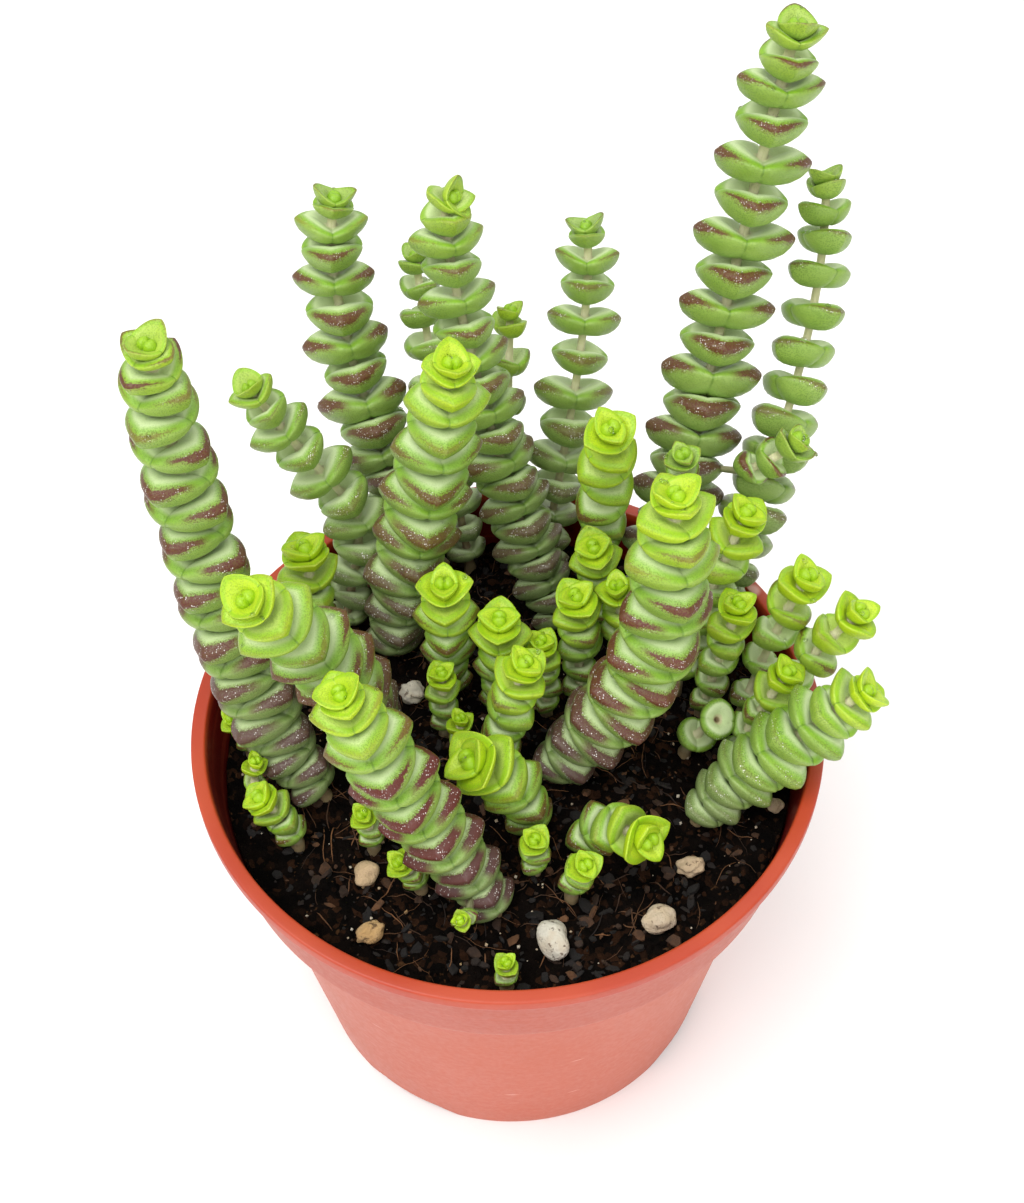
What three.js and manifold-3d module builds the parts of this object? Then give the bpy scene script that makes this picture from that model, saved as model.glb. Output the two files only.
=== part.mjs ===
// A baby necklace crassula in a small terracotta-coloured plastic nursery pot.
// Millimetres, +Z up. The origin is the middle of the pot's flat underside.
import * as THREE from 'three';
import Module from 'manifold-3d';
import { mergeVertices } from 'three/addons/utils/BufferGeometryUtils.js';

const wasm = await Module();
wasm.setup();

// Pot
const potHeight = 80;
const rimRadius = 54;
const baseRadius = 38.5;
const wall = 1.4;
const collarHeight = 18.4;
const collarFoot = 50.3;
const wallTop = 47.1;
const potSides = 32;
const edgeRound = 0.8;
const stepRound = 0.6;
const beadHeight = 3;
const beadReach = 1;
const lipWidth = 2;
const lipRound = 0.4;
const floorThickness = 1.6;
const channelInner = 27.5;
const channelSlope = 2;
const channelFloor = 4;
const recessCount = 4;
const recessWidth = 22;
const recessTopWidth = 12;
const recessHeight = 2.2;
const recessAngle = -121.5;

// Soil
const soilLevel = 69;
const soilSides = 24;
const soilEdge = 49.4;
const fit = 0.3;
const rootDepth = 6;
const rootRadius = 1.2;
const rootNeck = 0.6;
const holeSides = 5;

// Leaves, as shares of a pair's span or thickness
const leafThickness = 0.38;
const stemShare = 0.05;
const thinnestStem = 0.7;
const seamShare = 0.76;
const bellyRadius = 0.85;
const bellyDrop = 0.38;
const stemDrop = 0.5;
const stemRise = 0.12;
const marginRise = 0.12;
const seamLift = 0.4;
const shortestInternode = 2.9;
const thickestShareOfGap = 0.85;
const ringSides = 8;
const slenderSpan = 12;
const oldCup = 0.1;
const oldPower = 1.1;
const newPower = 1.8;
const budRadius = 0.14;
const budDrop = 0.05;
const turnSpread = 0.16;

// Gaps between pairs and sizes of pairs along a stem, as shares of the usual one
const footGap = 0.6;
const bareGap = 2;
const budGap = 0.2;
const closeGap = 0.62;
const gapGrowth = 0.45;
const firstSize = 0.7;
const sizeStep = 0.07;
const sizeSpread = 0.08;
const shortStemPairs = 9;
const topShrink = { short: 0.15, long: 0.4 };
const topReach = { short: 1, long: 2 };
const rosette = { gaps: [0.54, 0.62, 0.8], cups: [0.5, 0.3, 0.16] };

const materials = {
  pot: new THREE.MeshStandardMaterial({ color: 0xc85a3c, roughness: 0.45, metalness: 0 }),
  soil: new THREE.MeshStandardMaterial({ color: 0x2a1c14, roughness: 0.95, metalness: 0 }),
  leaf: new THREE.MeshStandardMaterial({ color: 0x86b560, roughness: 0.5, metalness: 0 }),
  perlite: new THREE.MeshStandardMaterial({ color: 0xe6dcc8, roughness: 0.9, metalness: 0 }),
};

const model = new THREE.Group();

function addMesh(name, geometry, material) {
  const mesh = new THREE.Mesh(geometry, material);
  mesh.name = name;
  model.add(mesh);
  return mesh;
}

// Closed meshes become solids here, for the cuts and joins
function toSolid(geometry) {
  const plain = geometry.clone();
  for (const name of Object.keys(plain.attributes)) {
    if (name !== 'position') plain.deleteAttribute(name);
  }
  const merged = mergeVertices(plain, 1e-4);
  return new wasm.Manifold(new wasm.Mesh({
    numProp: 3,
    vertProperties: new Float32Array(merged.attributes.position.array),
    triVerts: new Uint32Array(merged.index.array),
  }));
}

function toGeometry(solid) {
  const mesh = solid.getMesh();
  const geometry = new THREE.BufferGeometry();
  geometry.setAttribute('position', new THREE.BufferAttribute(mesh.vertProperties, 3));
  geometry.setIndex(new THREE.BufferAttribute(mesh.triVerts, 1));
  geometry.computeVertexNormals();
  return geometry;
}

// Every rule that varies from leaf to leaf draws its numbers here, from a fixed seed
function seeded(seed) {
  let state = seed;
  return () => {
    state = (state * 1664525 + 1013904223) % 4294967296;
    return state / 4294967296;
  };
}

// The pot's inner corners, from the middle of its floor up to the foot of its collar
const shoulder = potHeight - collarHeight;
const innerCorners = [
  [0, floorThickness],
  [channelInner - channelSlope, floorThickness],
  [channelInner, channelFloor],
  [baseRadius - wall, channelFloor],
  [wallTop - wall, shoulder - stepRound],
  [collarFoot - wall, shoulder + wall],
];

function potGeometry() {
  const profile = [
    [0, 0],
    [baseRadius - edgeRound, 0],
    [baseRadius, edgeRound],
    [wallTop, shoulder - stepRound],
    [collarFoot - stepRound, shoulder],
    [collarFoot, shoulder + stepRound],
    [rimRadius - beadReach, potHeight - beadHeight],
    [rimRadius, potHeight - beadHeight + beadReach],
    [rimRadius - lipRound, potHeight],
    [rimRadius - lipRound - lipWidth, potHeight],
    [rimRadius - beadReach - lipWidth, potHeight - beadHeight],
    ...innerCorners.toReversed(),
  ];
  const points = profile.map(([r, z]) => new THREE.Vector2(r, z));
  const turned = new THREE.LatheGeometry(points, potSides).rotateX(Math.PI / 2);
  let body = toSolid(turned);
  for (let i = 0; i < recessCount; i += 1) {
    const angle = THREE.MathUtils.degToRad(recessAngle + (360 / recessCount) * i);
    body = body.subtract(toSolid(recessCut().rotateZ(angle)));
    body = body.subtract(toSolid(drainSlot().rotateZ(angle)));
  }
  return toGeometry(body);
}

// A shallow recess with sloping ends under the pot's edge, running outwards along +X
function recessCut() {
  const depth = 12;
  const outline = new THREE.Shape([
    new THREE.Vector2(-recessWidth / 2, -1),
    new THREE.Vector2(recessWidth / 2, -1),
    new THREE.Vector2(recessWidth / 2, 0),
    new THREE.Vector2(recessTopWidth / 2, recessHeight),
    new THREE.Vector2(-recessTopWidth / 2, recessHeight),
    new THREE.Vector2(-recessWidth / 2, 0),
  ]);
  const cut = new THREE.ExtrudeGeometry(outline, { depth, bevelEnabled: false });
  return cut.rotateX(Math.PI / 2).rotateZ(Math.PI / 2).translate(baseRadius + 2 - depth, 0, 0);
}

// The slot through the floor of a recess that lets water out
function drainSlot() {
  return new THREE.BoxGeometry(3, recessTopWidth - 3, 8).translate(32, 0, 3);
}

// The peat's surface rises and falls by less than a millimetre
function soilTop(x, y) {
  const broad = 0.4 * Math.sin(0.19 * x + 1) * Math.cos(0.23 * y);
  const fine = 0.25 * Math.sin(0.31 * x - 0.27 * y);
  return soilLevel + broad + fine;
}

function soilBlock() {
  const ringRadii = [40, 27, 13, 0];
  const profile = [
    ...innerCorners.map(([r, z]) => [Math.max(0, r - fit), z + fit]),
    [soilEdge, soilLevel],
    ...ringRadii.map((radius) => [radius, soilLevel]),
  ];
  const points = profile.map(([r, z]) => new THREE.Vector2(r, z));
  const turned = new THREE.LatheGeometry(points, soilSides).rotateX(Math.PI / 2);
  const position = turned.attributes.position;
  for (let i = 0; i < position.count; i += 1) {
    if (position.getZ(i) > soilLevel - 0.1) {
      position.setZ(i, soilTop(position.getX(i), position.getY(i)));
    }
  }
  return toSolid(turned);
}

// A plain upright hole that a root stands in
function rootHole([x, y]) {
  const radius = (rootRadius + fit) / Math.cos(Math.PI / holeSides);
  const above = 4;
  const depth = rootDepth + fit + above;
  const hole = new THREE.CylinderGeometry(radius, radius, depth, holeSides).rotateX(Math.PI / 2);
  return toSolid(hole.translate(x, y, soilLevel + above - depth / 2));
}

// The outline of a leaf pair seen along its stem: 1 at the two leaf tips, less at the seam.
// A low power gives the round leaves of an old pair, a high one the pointed leaves of a new one.
function pairOutline(angle, power) {
  return seamShare + (1 - seamShare) * Math.abs(Math.cos(angle)) ** power;
}

function frameAt(curve, share) {
  const middle = curve.getPointAt(share);
  const along = curve.getTangentAt(share);
  const side = new THREE.Vector3(1, 0, 0);
  side.addScaledVector(along, -side.dot(along)).normalize();
  const front = new THREE.Vector3().crossVectors(along, side);
  return { middle, along, side, front };
}

// Points round a stem: radius and height are functions of the angle from the pair's long axis
function ringOf(frame, count, turn, quarter, radius, height) {
  const points = [];
  for (let k = 0; k < count; k += 1) {
    const around = (2 * Math.PI * k) / count;
    const angle = around + (quarter * Math.PI) / 2;
    const out = radius(angle);
    const point = frame.middle.clone().addScaledVector(frame.along, height(angle));
    point.addScaledVector(frame.side, out * Math.cos(around + turn));
    point.addScaledVector(frame.front, out * Math.sin(around + turn));
    points.push(point);
  }
  return points;
}

// Where the pairs sit on a stem, as shares of its length, and how big and cupped each one is.
// Old pairs are packed close and later ones stand further apart. Towards the tip the pairs get
// smaller, and the top three close up into a rosette round the bud.
function pairPlan(pairs, lowest, random) {
  const gaps = [];
  const sizes = [];
  const cups = [];
  const length = pairs > shortStemPairs ? 'long' : 'short';
  for (let i = 0; i < pairs; i += 1) {
    const fromTop = pairs - 1 - i;
    gaps.push(i === 0 ? lowest : closeGap + gapGrowth * (i / (pairs - 1)));
    const variation = 1 + sizeSpread * (random() - 0.5);
    const grown = 1 - topShrink[length] * Math.exp(-fromTop / topReach[length]);
    sizes.push(Math.min(1, firstSize + sizeStep * i) * grown * variation);
    cups.push(oldCup);
    if (fromTop < rosette.gaps.length) {
      gaps[i] *= rosette.gaps[fromTop];
      cups[i] = rosette.cups[fromTop];
    }
  }
  gaps.push(budGap);
  const total = gaps.reduce((sum, gap) => sum + gap, 0);
  let reached = 0;
  return sizes.map((size, i) => {
    reached += gaps[i] / total;
    return { share: reached, size, cup: cups[i], below: gaps[i] / total, above: gaps[i + 1] / total };
  });
}

// A leafy stem is one closed skin: rings are laid square to a curved centre line and stitched.
// Each pair of leaves, grown together round the stem, is a keeled lens with a cupped margin.
function leafyStem({ name, root, low, high, tip, pairs, span, turn, start }) {
  const random = seeded(Math.round(1000 + span * 100 + turn * 7 + tip[2]));
  const foot = start ?? [root[0], root[1], soilLevel + 1];
  const curve = new THREE.CubicBezierCurve3(
    new THREE.Vector3(...foot),
    new THREE.Vector3(...low),
    new THREE.Vector3(...high),
    new THREE.Vector3(...tip),
  );
  const length = curve.getLength();
  const stemRadius = Math.max(thinnestStem, span * stemShare);
  const base = THREE.MathUtils.degToRad(turn);
  const rings = [];
  if (!start) {
    for (const height of [soilLevel - rootDepth, soilLevel + rootNeck]) {
      const upright = {
        middle: new THREE.Vector3(root[0], root[1], height),
        along: new THREE.Vector3(0, 0, 1),
        side: new THREE.Vector3(1, 0, 0),
        front: new THREE.Vector3(0, 1, 0),
      };
      rings.push(ringOf(upright, 4, base, 0, () => rootRadius, () => 0));
    }
  } else {
    rings.push(ringOf(frameAt(curve, 0), 4, base, 0, () => stemRadius, () => 0));
  }
  let drift = 0;
  const plan = pairPlan(pairs, start ? bareGap : footGap, random);
  for (const [i, pair] of plan.entries()) {
    const frame = frameAt(curve, pair.share);
    const half = (span / 2) * pair.size;
    const gap = Math.min(pair.below, pair.above) * length;
    const thick = Math.min(leafThickness * span * pair.size, thickestShareOfGap * gap);
    const power = pair.cup > oldCup ? newPower : oldPower;
    const quarter = i % 2;
    drift += turnSpread * (random() - 0.5);
    const lift = (angle) => {
      const tipward = seamLift + (1 - seamLift) * Math.cos(angle) ** 2;
      return pair.cup * half * tipward;
    };
    const add = (count, radius, height) => {
      rings.push(ringOf(frame, count, base + drift, quarter, radius, height));
    };
    add(4, () => stemRadius, () => -stemDrop * thick);
    add(
      span < slenderSpan ? 4 : ringSides,
      (angle) => bellyRadius * half * pairOutline(angle, power),
      (angle) => -bellyDrop * thick + 0.5 * lift(angle),
    );
    add(
      ringSides,
      (angle) => half * pairOutline(angle, power),
      (angle) => marginRise * thick + lift(angle),
    );
    const clearAbove = pair.above * length - (stemRise + stemDrop) * thick;
    if (clearAbove > shortestInternode || i === pairs - 1) {
      add(4, () => stemRadius, () => stemRise * thick);
    }
  }
  const last = frameAt(curve, 1);
  if (name !== cutShoot) {
    const budSize = Math.max(stemRadius, budRadius * span);
    rings.push(ringOf(last, 4, base + drift, 0, () => budSize, () => -budDrop * span));
  }
  return stitch(rings, last.middle);
}

// Joins rings of four or more points into one closed skin, with a fan at each end
function stitch(rings, peak) {
  const positions = [];
  const faces = [];
  const starts = [];
  for (const ring of rings) {
    starts.push(positions.length / 3);
    for (const point of ring) positions.push(point.x, point.y, point.z);
  }
  for (let i = 0; i + 1 < rings.length; i += 1) {
    faces.push(...band(starts[i], rings[i].length, starts[i + 1], rings[i + 1].length));
  }
  const first = rings[0].length;
  for (let k = 1; k + 1 < first; k += 1) faces.push([0, k + 1, k]);
  const top = positions.length / 3;
  positions.push(peak.x, peak.y, peak.z);
  const lastStart = starts[starts.length - 1];
  const lastCount = rings[rings.length - 1].length;
  for (let k = 0; k < lastCount; k += 1) {
    faces.push([lastStart + k, lastStart + ((k + 1) % lastCount), top]);
  }
  const geometry = new THREE.BufferGeometry();
  geometry.setAttribute('position', new THREE.Float32BufferAttribute(positions, 3));
  geometry.setIndex(faces.flat());
  geometry.computeVertexNormals();
  return geometry;
}

// The strip between two rings. Where the counts differ, each point of the smaller ring
// takes a fan of the larger one.
function band(lower, lowerCount, upper, upperCount) {
  const faces = [];
  const steps = Math.max(lowerCount, upperCount);
  const lowerAt = (k) => lower + (Math.round((k * lowerCount) / steps) % lowerCount);
  const upperAt = (k) => upper + (Math.round((k * upperCount) / steps) % upperCount);
  for (let k = 0; k < steps; k += 1) {
    const a = lowerAt(k);
    const b = lowerAt(k + 1);
    const c = upperAt(k + 1);
    const d = upperAt(k);
    if (a !== b) faces.push([a, b, c]);
    if (c !== d) faces.push([a, c, d]);
  }
  return faces;
}

// Each stem stands at root (x, y), curves by way of low and high and ends at tip (x, y, z).
// After them come the number of leaf pairs, the span of a pair and its turn in degrees.
const stemRows = [
  [
    'stem_tall_right', [23.6, 20.1], [37.2, 47, 115.6], [41.4, 55.8, 149.9], [45.6, 56.4, 176.2],
    21, 17, 0,
  ],
  [
    'stem_far_right', [34.5, 23.9], [38.7, 20.4, 87.2], [57.3, 50.4, 115.6], [54.7, 62.2, 143.8],
    16, 12.7, 40,
  ],
  [
    'stem_tall_middle', [10.7, 26.4], [2.4, 36.1, 84.3], [-12.4, 53.5, 148.2], [-7, 50.8, 150.5],
    19, 14.4, 20,
  ],
  [
    'stem_middle', [-20.6, 22.5], [-19.6, 24.6, 84.5], [-12, 26.9, 107], [-7.4, 23.1, 140.2],
    15, 16.5, 10,
  ],
  [
    'stem_tall_left', [-31.7, -8.4], [-44, -3.8, 84.5], [-50.1, 11.7, 123.1], [-49.7, 9.3, 157.8],
    20, 15.6, 60,
  ],
  [
    'stem_left', [-23, 5], [-24.1, -3.6, 93.7], [-28.4, -11.9, 115.9], [-36.1, -19.9, 136.6],
    13, 16.2, 40,
  ],
  [
    'stem_front', [-2.7, -32.4], [-8, -28.7, 83.3], [-18.6, -27, 100.3], [-23.6, -28.6, 125.6],
    14, 15.4, 30,
  ],
  [
    'stem_front_right', [7.3, -4.9], [18.1, -4.6, 90.4], [26.7, -5.8, 91.5], [25.4, -1.9, 136.5],
    16, 17, 20,
  ],
  [
    'stem_back_left', [-16.9, 35.4], [-12.6, 39.9, 81.3], [-32.9, 58.2, 114.6], [-27.2, 63.4, 140.5],
    16, 16, 0,
  ],
  [
    'stem_back', [6.9, 39.3], [9.1, 44, 84.7], [17.6, 62.2, 116.7], [15.4, 66.3, 131.2],
    12, 14.5, 0,
  ],
  [
    'stem_low_left', [-30, 27.5], [-22, 37.6, 102.5], [-25.6, 35, 87.5], [-41.4, 36.5, 123.4],
    11, 13.8, 30,
  ],
  [
    'stem_low_back', [-6.5, 42.5], [-8, 44.5, 84], [-13.3, 60.5, 112], [-14.3, 66.2, 125.8],
    11, 12.5, 30,
  ],
  ['stem_over_rim', [32, -15], [37.3, -13, 78], [45.7, -12, 88.3], [57, -12, 101], 11, 15, 30],
  ['shoot_back_thin', [0.5, 45], [0.8, 48.3, 84.7], [1.3, 53.3, 100.7], [2, 60, 118], 6, 9.4, 30],
  [
    'shoot_back_round', [17.2, 37.6], [17.6, 35.3, 86.7], [17.7, 30.3, 105.3], [17.4, 22.5, 126],
    9, 12, 45,
  ],
  [
    'shoot_right_upper', [30.5, 13], [33.5, 16, 83.3], [36.7, 17.5, 97], [40, 17.5, 111],
    7, 11.4, 45,
  ],
  [
    'shoot_right_lower', [34.5, 7.2], [36.2, 8.1, 80], [37.7, 8.7, 89.1], [39, 9.2, 97.4],
    6, 10, 30,
  ],
  ['shoot_rim_back', [41, 5.5], [44, 8.8, 82], [47, 10.3, 93.1], [49.9, 10, 103.3], 5, 12.2, 30],
  [
    'shoot_rim_front', [40.5, -0.1], [46.3, 2.5, 82], [52, 3.3, 93.1], [57.5, 2.2, 103.4],
    6, 10.9, 30,
  ],
  [
    'shoot_rim_inner', [38.2, -4.2], [40.3, -3.7, 78], [43, -3.3, 86.2], [46.2, -3, 94.5],
    5, 10, 40,
  ],
  ['shoot_cut', [31, -1], [33.3, -1, 76.7], [35.2, -2.3, 81.5], [36.6, -5, 84.6], 2, 11.5, 0],
  [
    'shoot_front_wide', [12, -20], [14, -20, 76.7], [17.3, -22.7, 81.4], [21.9, -28, 84.2],
    5, 12.4, 20,
  ],
  [
    'shoot_front_low', [10, -29], [10.7, -28.3, 73.3], [11.3, -28.7, 76.7], [12, -30, 80],
    3, 9.4, 20,
  ],
  ['shoot_front_small', [4, -25], [4, -24.3, 74], [4, -24.3, 77.3], [4, -25, 80], 3, 8.8, 50],
  ['shoot_front_large', [4, -16], [2.7, -15.3, 79.3], [-0.7, -16, 87], [-6, -18, 93], 6, 13.8, 30],
  ['shoot_middle_1', [-10, 13], [-10, 13, 80], [-10, 12.3, 90.7], [-10, 11, 102], 7, 11.6, 0],
  ['shoot_middle_2', [-1, 9], [-1, 9, 78], [-1, 8.7, 86.7], [-1, 8, 96], 6, 11.6, 0],
  ['shoot_middle_3', [-2, -3], [-1.3, -3, 76.7], [0.3, -2.7, 85.7], [3, -2, 97], 7, 11, 40],
  ['shoot_middle_4', [13, 11], [13, 12.3, 79.3], [12.7, 12.7, 88.3], [12, 12, 97], 6, 10.5, 30],
  ['shoot_middle_5', [7, 8], [7, 8, 76.7], [6.7, 8, 83.3], [6, 8, 90], 5, 8.8, 60],
  ['shoot_middle_6', [16.2, 24.8], [16.7, 25, 82], [16.4, 24.1, 91.3], [15.4, 22, 98], 6, 10.6, 30],
  ['shoot_middle_7', [-11, 4], [-11, 4, 75.3], [-11, 4, 81], [-11, 4, 87], 4, 8.8, 30],
  ['shoot_middle_8', [-8, -3], [-8, -3, 73.3], [-8, -2.7, 77.3], [-8, -2, 82], 3, 7.7, 30],
  ['shoot_middle_9', [21, 13], [21, 13.7, 79.3], [20.3, 14, 88.3], [19, 14, 97], 5, 9.9, 0],
  [
    'shoot_left_upper', [-36, 16], [-34, 18.7, 80.7], [-33.3, 20.7, 90.3], [-34, 22, 99],
    6, 12.4, 40,
  ],
  ['shoot_left_wall', [-45, 1], [-45, 1, 73.3], [-45.7, 0.7, 77], [-47, 0, 81], 3, 7.7, 40],
  [
    'shoot_left_high', [-43, -11], [-43, -11, 75.3], [-42.7, -10.8, 79.7], [-42, -10.5, 83],
    3, 7, 40,
  ],
  [
    'shoot_left_low', [-36, -18], [-37.3, -17.3, 74.7], [-39, -17, 78.7], [-41, -17, 82],
    4, 9.9, 40,
  ],
  [
    'shoot_front_left_1', [-23, -19], [-23, -19, 74], [-23.3, -19.3, 77.7], [-24, -20, 81],
    3, 8.2, 40,
  ],
  [
    'shoot_front_left_2', [-15, -27], [-15.7, -27, 73.3], [-16.7, -27.3, 76.3], [-18, -28, 79],
    3, 8.2, 40,
  ],
  ['shoot_front_wall', [-1, -45], [-1, -45, 72], [-1, -45, 74], [-1, -45, 76], 2, 7.7, 40],
];
const stems = stemRows.map(([name, root, low, high, tip, pairs, span, turn]) => (
  { name, root, low, high, tip, pairs, span, turn }
));
const cutShoot = 'shoot_cut';

// Side shoots that grow out of a stem and are one body with it
const sideShoots = {
  stem_tall_right: [
    {
      start: [33, 37, 102.2],
      low: [37.5, 32.5, 103.5],
      high: [43.5, 30.5, 106.5],
      tip: [49.6, 30.2, 114.5],
      pairs: 3,
      span: 12.5,
      turn: 10,
    },
    {
      start: [32.4, 35.5, 100],
      low: [31.6, 32, 101.5],
      high: [30.5, 28, 108],
      tip: [29.7, 25.2, 117],
      pairs: 3,
      span: 10,
      turn: 45,
    },
  ],
  stem_front: [
    {
      start: [-6, -32, 77],
      low: [-6.7, -36.7, 77],
      high: [-7.3, -39.3, 78.3],
      tip: [-8, -40, 81],
      pairs: 2,
      span: 6,
      turn: 20,
    },
  ],
};

// How far below its middle a stone is flattened, as a share of its height
const stoneBed = 0.36;

// White and tan perlite: centre on the peat, and the length, width and height of each piece
const stones = [
  { at: [7, -38], size: [5, 7, 4], turn: 10 },
  { at: [24, -35], size: [6, 4.6, 3.6], turn: 20 },
  { at: [30, -25], size: [4.8, 3.8, 3], turn: 0 },
  { at: [-24, -25], size: [4.4, 3.8, 3.2], turn: 50 },
  { at: [-23, -36], size: [5, 3.6, 2.8], turn: 30 },
  { at: [38, 5], size: [4.2, 5, 3.4], turn: 0 },
  { at: [-17, 12], size: [4.4, 4.4, 4], turn: 0 },
  { at: [45.5, -13], size: [2.6, 2.4, 2], turn: 0 },
];

// A rounded lump, flat where it lies on the peat
function stoneGeometry({ at, size, turn }, seed) {
  const random = seeded(seed);
  const faceted = new THREE.DodecahedronGeometry(0.5).deleteAttribute('uv').deleteAttribute('normal');
  const lump = mergeVertices(faceted);
  const position = lump.attributes.position;
  const [x, y] = at;
  const bed = soilTop(x, y) + 2 * fit;
  for (let i = 0; i < position.count; i += 1) {
    const swell = 0.88 + 0.24 * random();
    position.setXYZ(
      i,
      position.getX(i) * size[0] * swell,
      position.getY(i) * size[1] * swell,
      Math.max(-stoneBed, position.getZ(i) * swell) * size[2],
    );
  }
  lump.rotateZ(THREE.MathUtils.degToRad(turn));
  return lump.translate(x, y, bed + stoneBed * size[2]);
}

let soil = soilBlock();
for (const stem of stems) soil = soil.subtract(rootHole(stem.root));

addMesh('pot', potGeometry(), materials.pot);
addMesh('soil', toGeometry(soil), materials.soil);
for (const stem of stems) {
  const shoots = sideShoots[stem.name] ?? [];
  const bodies = [stem, ...shoots].map((each) => toSolid(leafyStem(each)));
  addMesh(stem.name, toGeometry(bodies.reduce((whole, body) => whole.add(body))), materials.leaf);
}
stones.forEach((stone, i) => {
  addMesh(`perlite_${i + 1}`, stoneGeometry(stone, 11 + i), materials.perlite);
});

export default model;
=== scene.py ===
# A baby necklace crassula in a terracotta-coloured nursery pot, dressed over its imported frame.
# Sizes are millimetres in the settings below, apart from the lamps' and the materials', which are
# metres, as every mesh is.
import bpy
import math
import numpy as np
from mathutils import Matrix, Vector


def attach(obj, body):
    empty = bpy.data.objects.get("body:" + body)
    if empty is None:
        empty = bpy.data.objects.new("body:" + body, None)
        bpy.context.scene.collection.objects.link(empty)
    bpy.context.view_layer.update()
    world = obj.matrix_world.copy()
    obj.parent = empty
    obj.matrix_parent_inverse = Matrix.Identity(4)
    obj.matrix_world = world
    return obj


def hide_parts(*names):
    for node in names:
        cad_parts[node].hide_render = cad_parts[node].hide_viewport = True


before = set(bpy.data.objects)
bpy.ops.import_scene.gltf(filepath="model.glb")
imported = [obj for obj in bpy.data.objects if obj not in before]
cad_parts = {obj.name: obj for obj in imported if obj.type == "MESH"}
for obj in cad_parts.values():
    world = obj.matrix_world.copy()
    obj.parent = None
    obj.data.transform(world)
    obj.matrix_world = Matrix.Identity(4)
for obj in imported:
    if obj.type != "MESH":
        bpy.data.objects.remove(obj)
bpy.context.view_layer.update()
mm = 0.001


# Meshes

def newObject(name, data):
    thing = bpy.data.objects.new(name, data)
    bpy.context.scene.collection.objects.link(thing)
    return thing


def meshObject(name, points, quads, tris=()):
    # points (n, 3) in mm, then the faces: four and three point numbers each
    loops = np.concatenate([np.asarray(faces, np.int32).ravel() for faces in (quads, tris)])
    sizes = np.repeat([4, 3], [len(quads), len(tris)])
    starts = np.append(0, np.cumsum(sizes)[:-1]).astype(np.int32)
    mesh = bpy.data.meshes.new(name)
    mesh.vertices.add(len(points))
    mesh.vertices.foreach_set("co", (np.asarray(points) * mm).astype(np.float32).ravel())
    mesh.loops.add(len(loops))
    mesh.loops.foreach_set("vertex_index", loops)
    mesh.polygons.add(len(starts))
    mesh.polygons.foreach_set("loop_start", starts)
    mesh.update(calc_edges=True)
    mesh.validate()
    mesh.shade_smooth()
    return newObject(name, mesh)


def skinFaces(rows, columns):
    # a closed tube of rows x columns points, then its bottom pole and its top pole
    k = np.arange(columns)
    nextK = (k + 1) % columns
    low = np.arange(rows - 1)[:, None] * columns
    quads = np.stack([low + k, low + nextK, low + columns + nextK, low + columns + k], -1).reshape(-1, 4)
    bottom = rows * columns
    last = bottom - columns
    fanLow = np.stack([np.full(columns, bottom), nextK, k], -1)
    fanHigh = np.stack([last + k, last + nextK, np.full(columns, bottom + 1)], -1)
    return quads, np.concatenate([fanLow, fanHigh])


def addValues(piece, values):
    # one float per point for each name
    for name, numbers in values.items():
        layer = piece.data.attributes.new(name, "FLOAT", "POINT")
        layer.data.foreach_set("value", np.asarray(numbers, np.float32).ravel())


def manySkins(name, points, rows, columns):
    # like tubes in one mesh: points (n, rows x columns + 2, 3)
    quads, tris = skinFaces(rows, columns)
    shift = (np.arange(len(points)) * points.shape[1])[:, None, None]
    quads, tris = (quads + shift).reshape(-1, 4), (tris + shift).reshape(-1, 3)
    return meshObject(name, points.reshape(-1, 3), quads, tris)


def filletLine(corners, radius, steps=4, longRun=3, nearEnd=0.7):
    # every inner corner becomes a short quadratic arc, and long straight runs get a point near each end
    p = np.asarray(corners, float)
    out = [p[0]]
    for before, corner, after in zip(p[:-2], p[1:-1], p[2:]):
        toBefore = before - corner
        toAfter = after - corner
        reach = min(radius, 0.45 * np.linalg.norm(toBefore), 0.45 * np.linalg.norm(toAfter))
        start = corner + toBefore / np.linalg.norm(toBefore) * reach
        end = corner + toAfter / np.linalg.norm(toAfter) * reach
        run = np.linalg.norm(start - out[-1])
        if run > longRun:
            way = (start - out[-1]) / run
            out.append(out[-1] + way * nearEnd)
            out.append(start - way * nearEnd)
        for t in np.linspace(0, 1, steps + 1):
            out.append((1 - t) ** 2 * start + 2 * t * (1 - t) * corner + t ** 2 * end)
    out.append(p[-1])
    return np.array(out)


def latheGrid(profile, columns):
    # profile (r, z) turned round Z, from the lower pole to the upper one
    angle = np.arange(columns) / columns * 2 * np.pi
    r = profile[:, 0, None]
    z = profile[:, 1, None] + 0 * angle
    return np.stack([r * np.cos(angle), r * np.sin(angle), z], -1)


def latheObject(name, profile, columns):
    # the profile's first and last points are the poles
    grid = latheGrid(profile[1:-1], columns)
    poles = np.array([[0, 0, profile[0][1]], [0, 0, profile[-1][1]]])
    return meshObject(name, np.vstack([grid.reshape(-1, 3), poles]), *skinFaces(len(grid), columns))


def spun(points, angle):
    # points (..., 3) turned round Z
    c, s = np.cos(angle), np.sin(angle)
    x, y, z = np.moveaxis(points, -1, 0)
    return np.stack([x * c - y * s, x * s + y * c, z], -1)


def turned(points, yaw, pitch, roll):
    # points (n, m, 3) turned item by item about X, then Y, then Z
    x, y, z = np.moveaxis(points, -1, 0)
    c, s = np.cos(roll)[:, None], np.sin(roll)[:, None]
    y, z = y * c - z * s, y * s + z * c
    c, s = np.cos(pitch)[:, None], np.sin(pitch)[:, None]
    x, z = x * c + z * s, -x * s + z * c
    return spun(np.stack([x, y, z], -1), yaw[:, None])


def scatter(count, rng, reach):
    # even over the disc
    r = reach * np.sqrt(rng.uniform(0, 1, count))
    a = rng.uniform(0, 2 * np.pi, count)
    return r * np.cos(a), r * np.sin(a)


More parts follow.
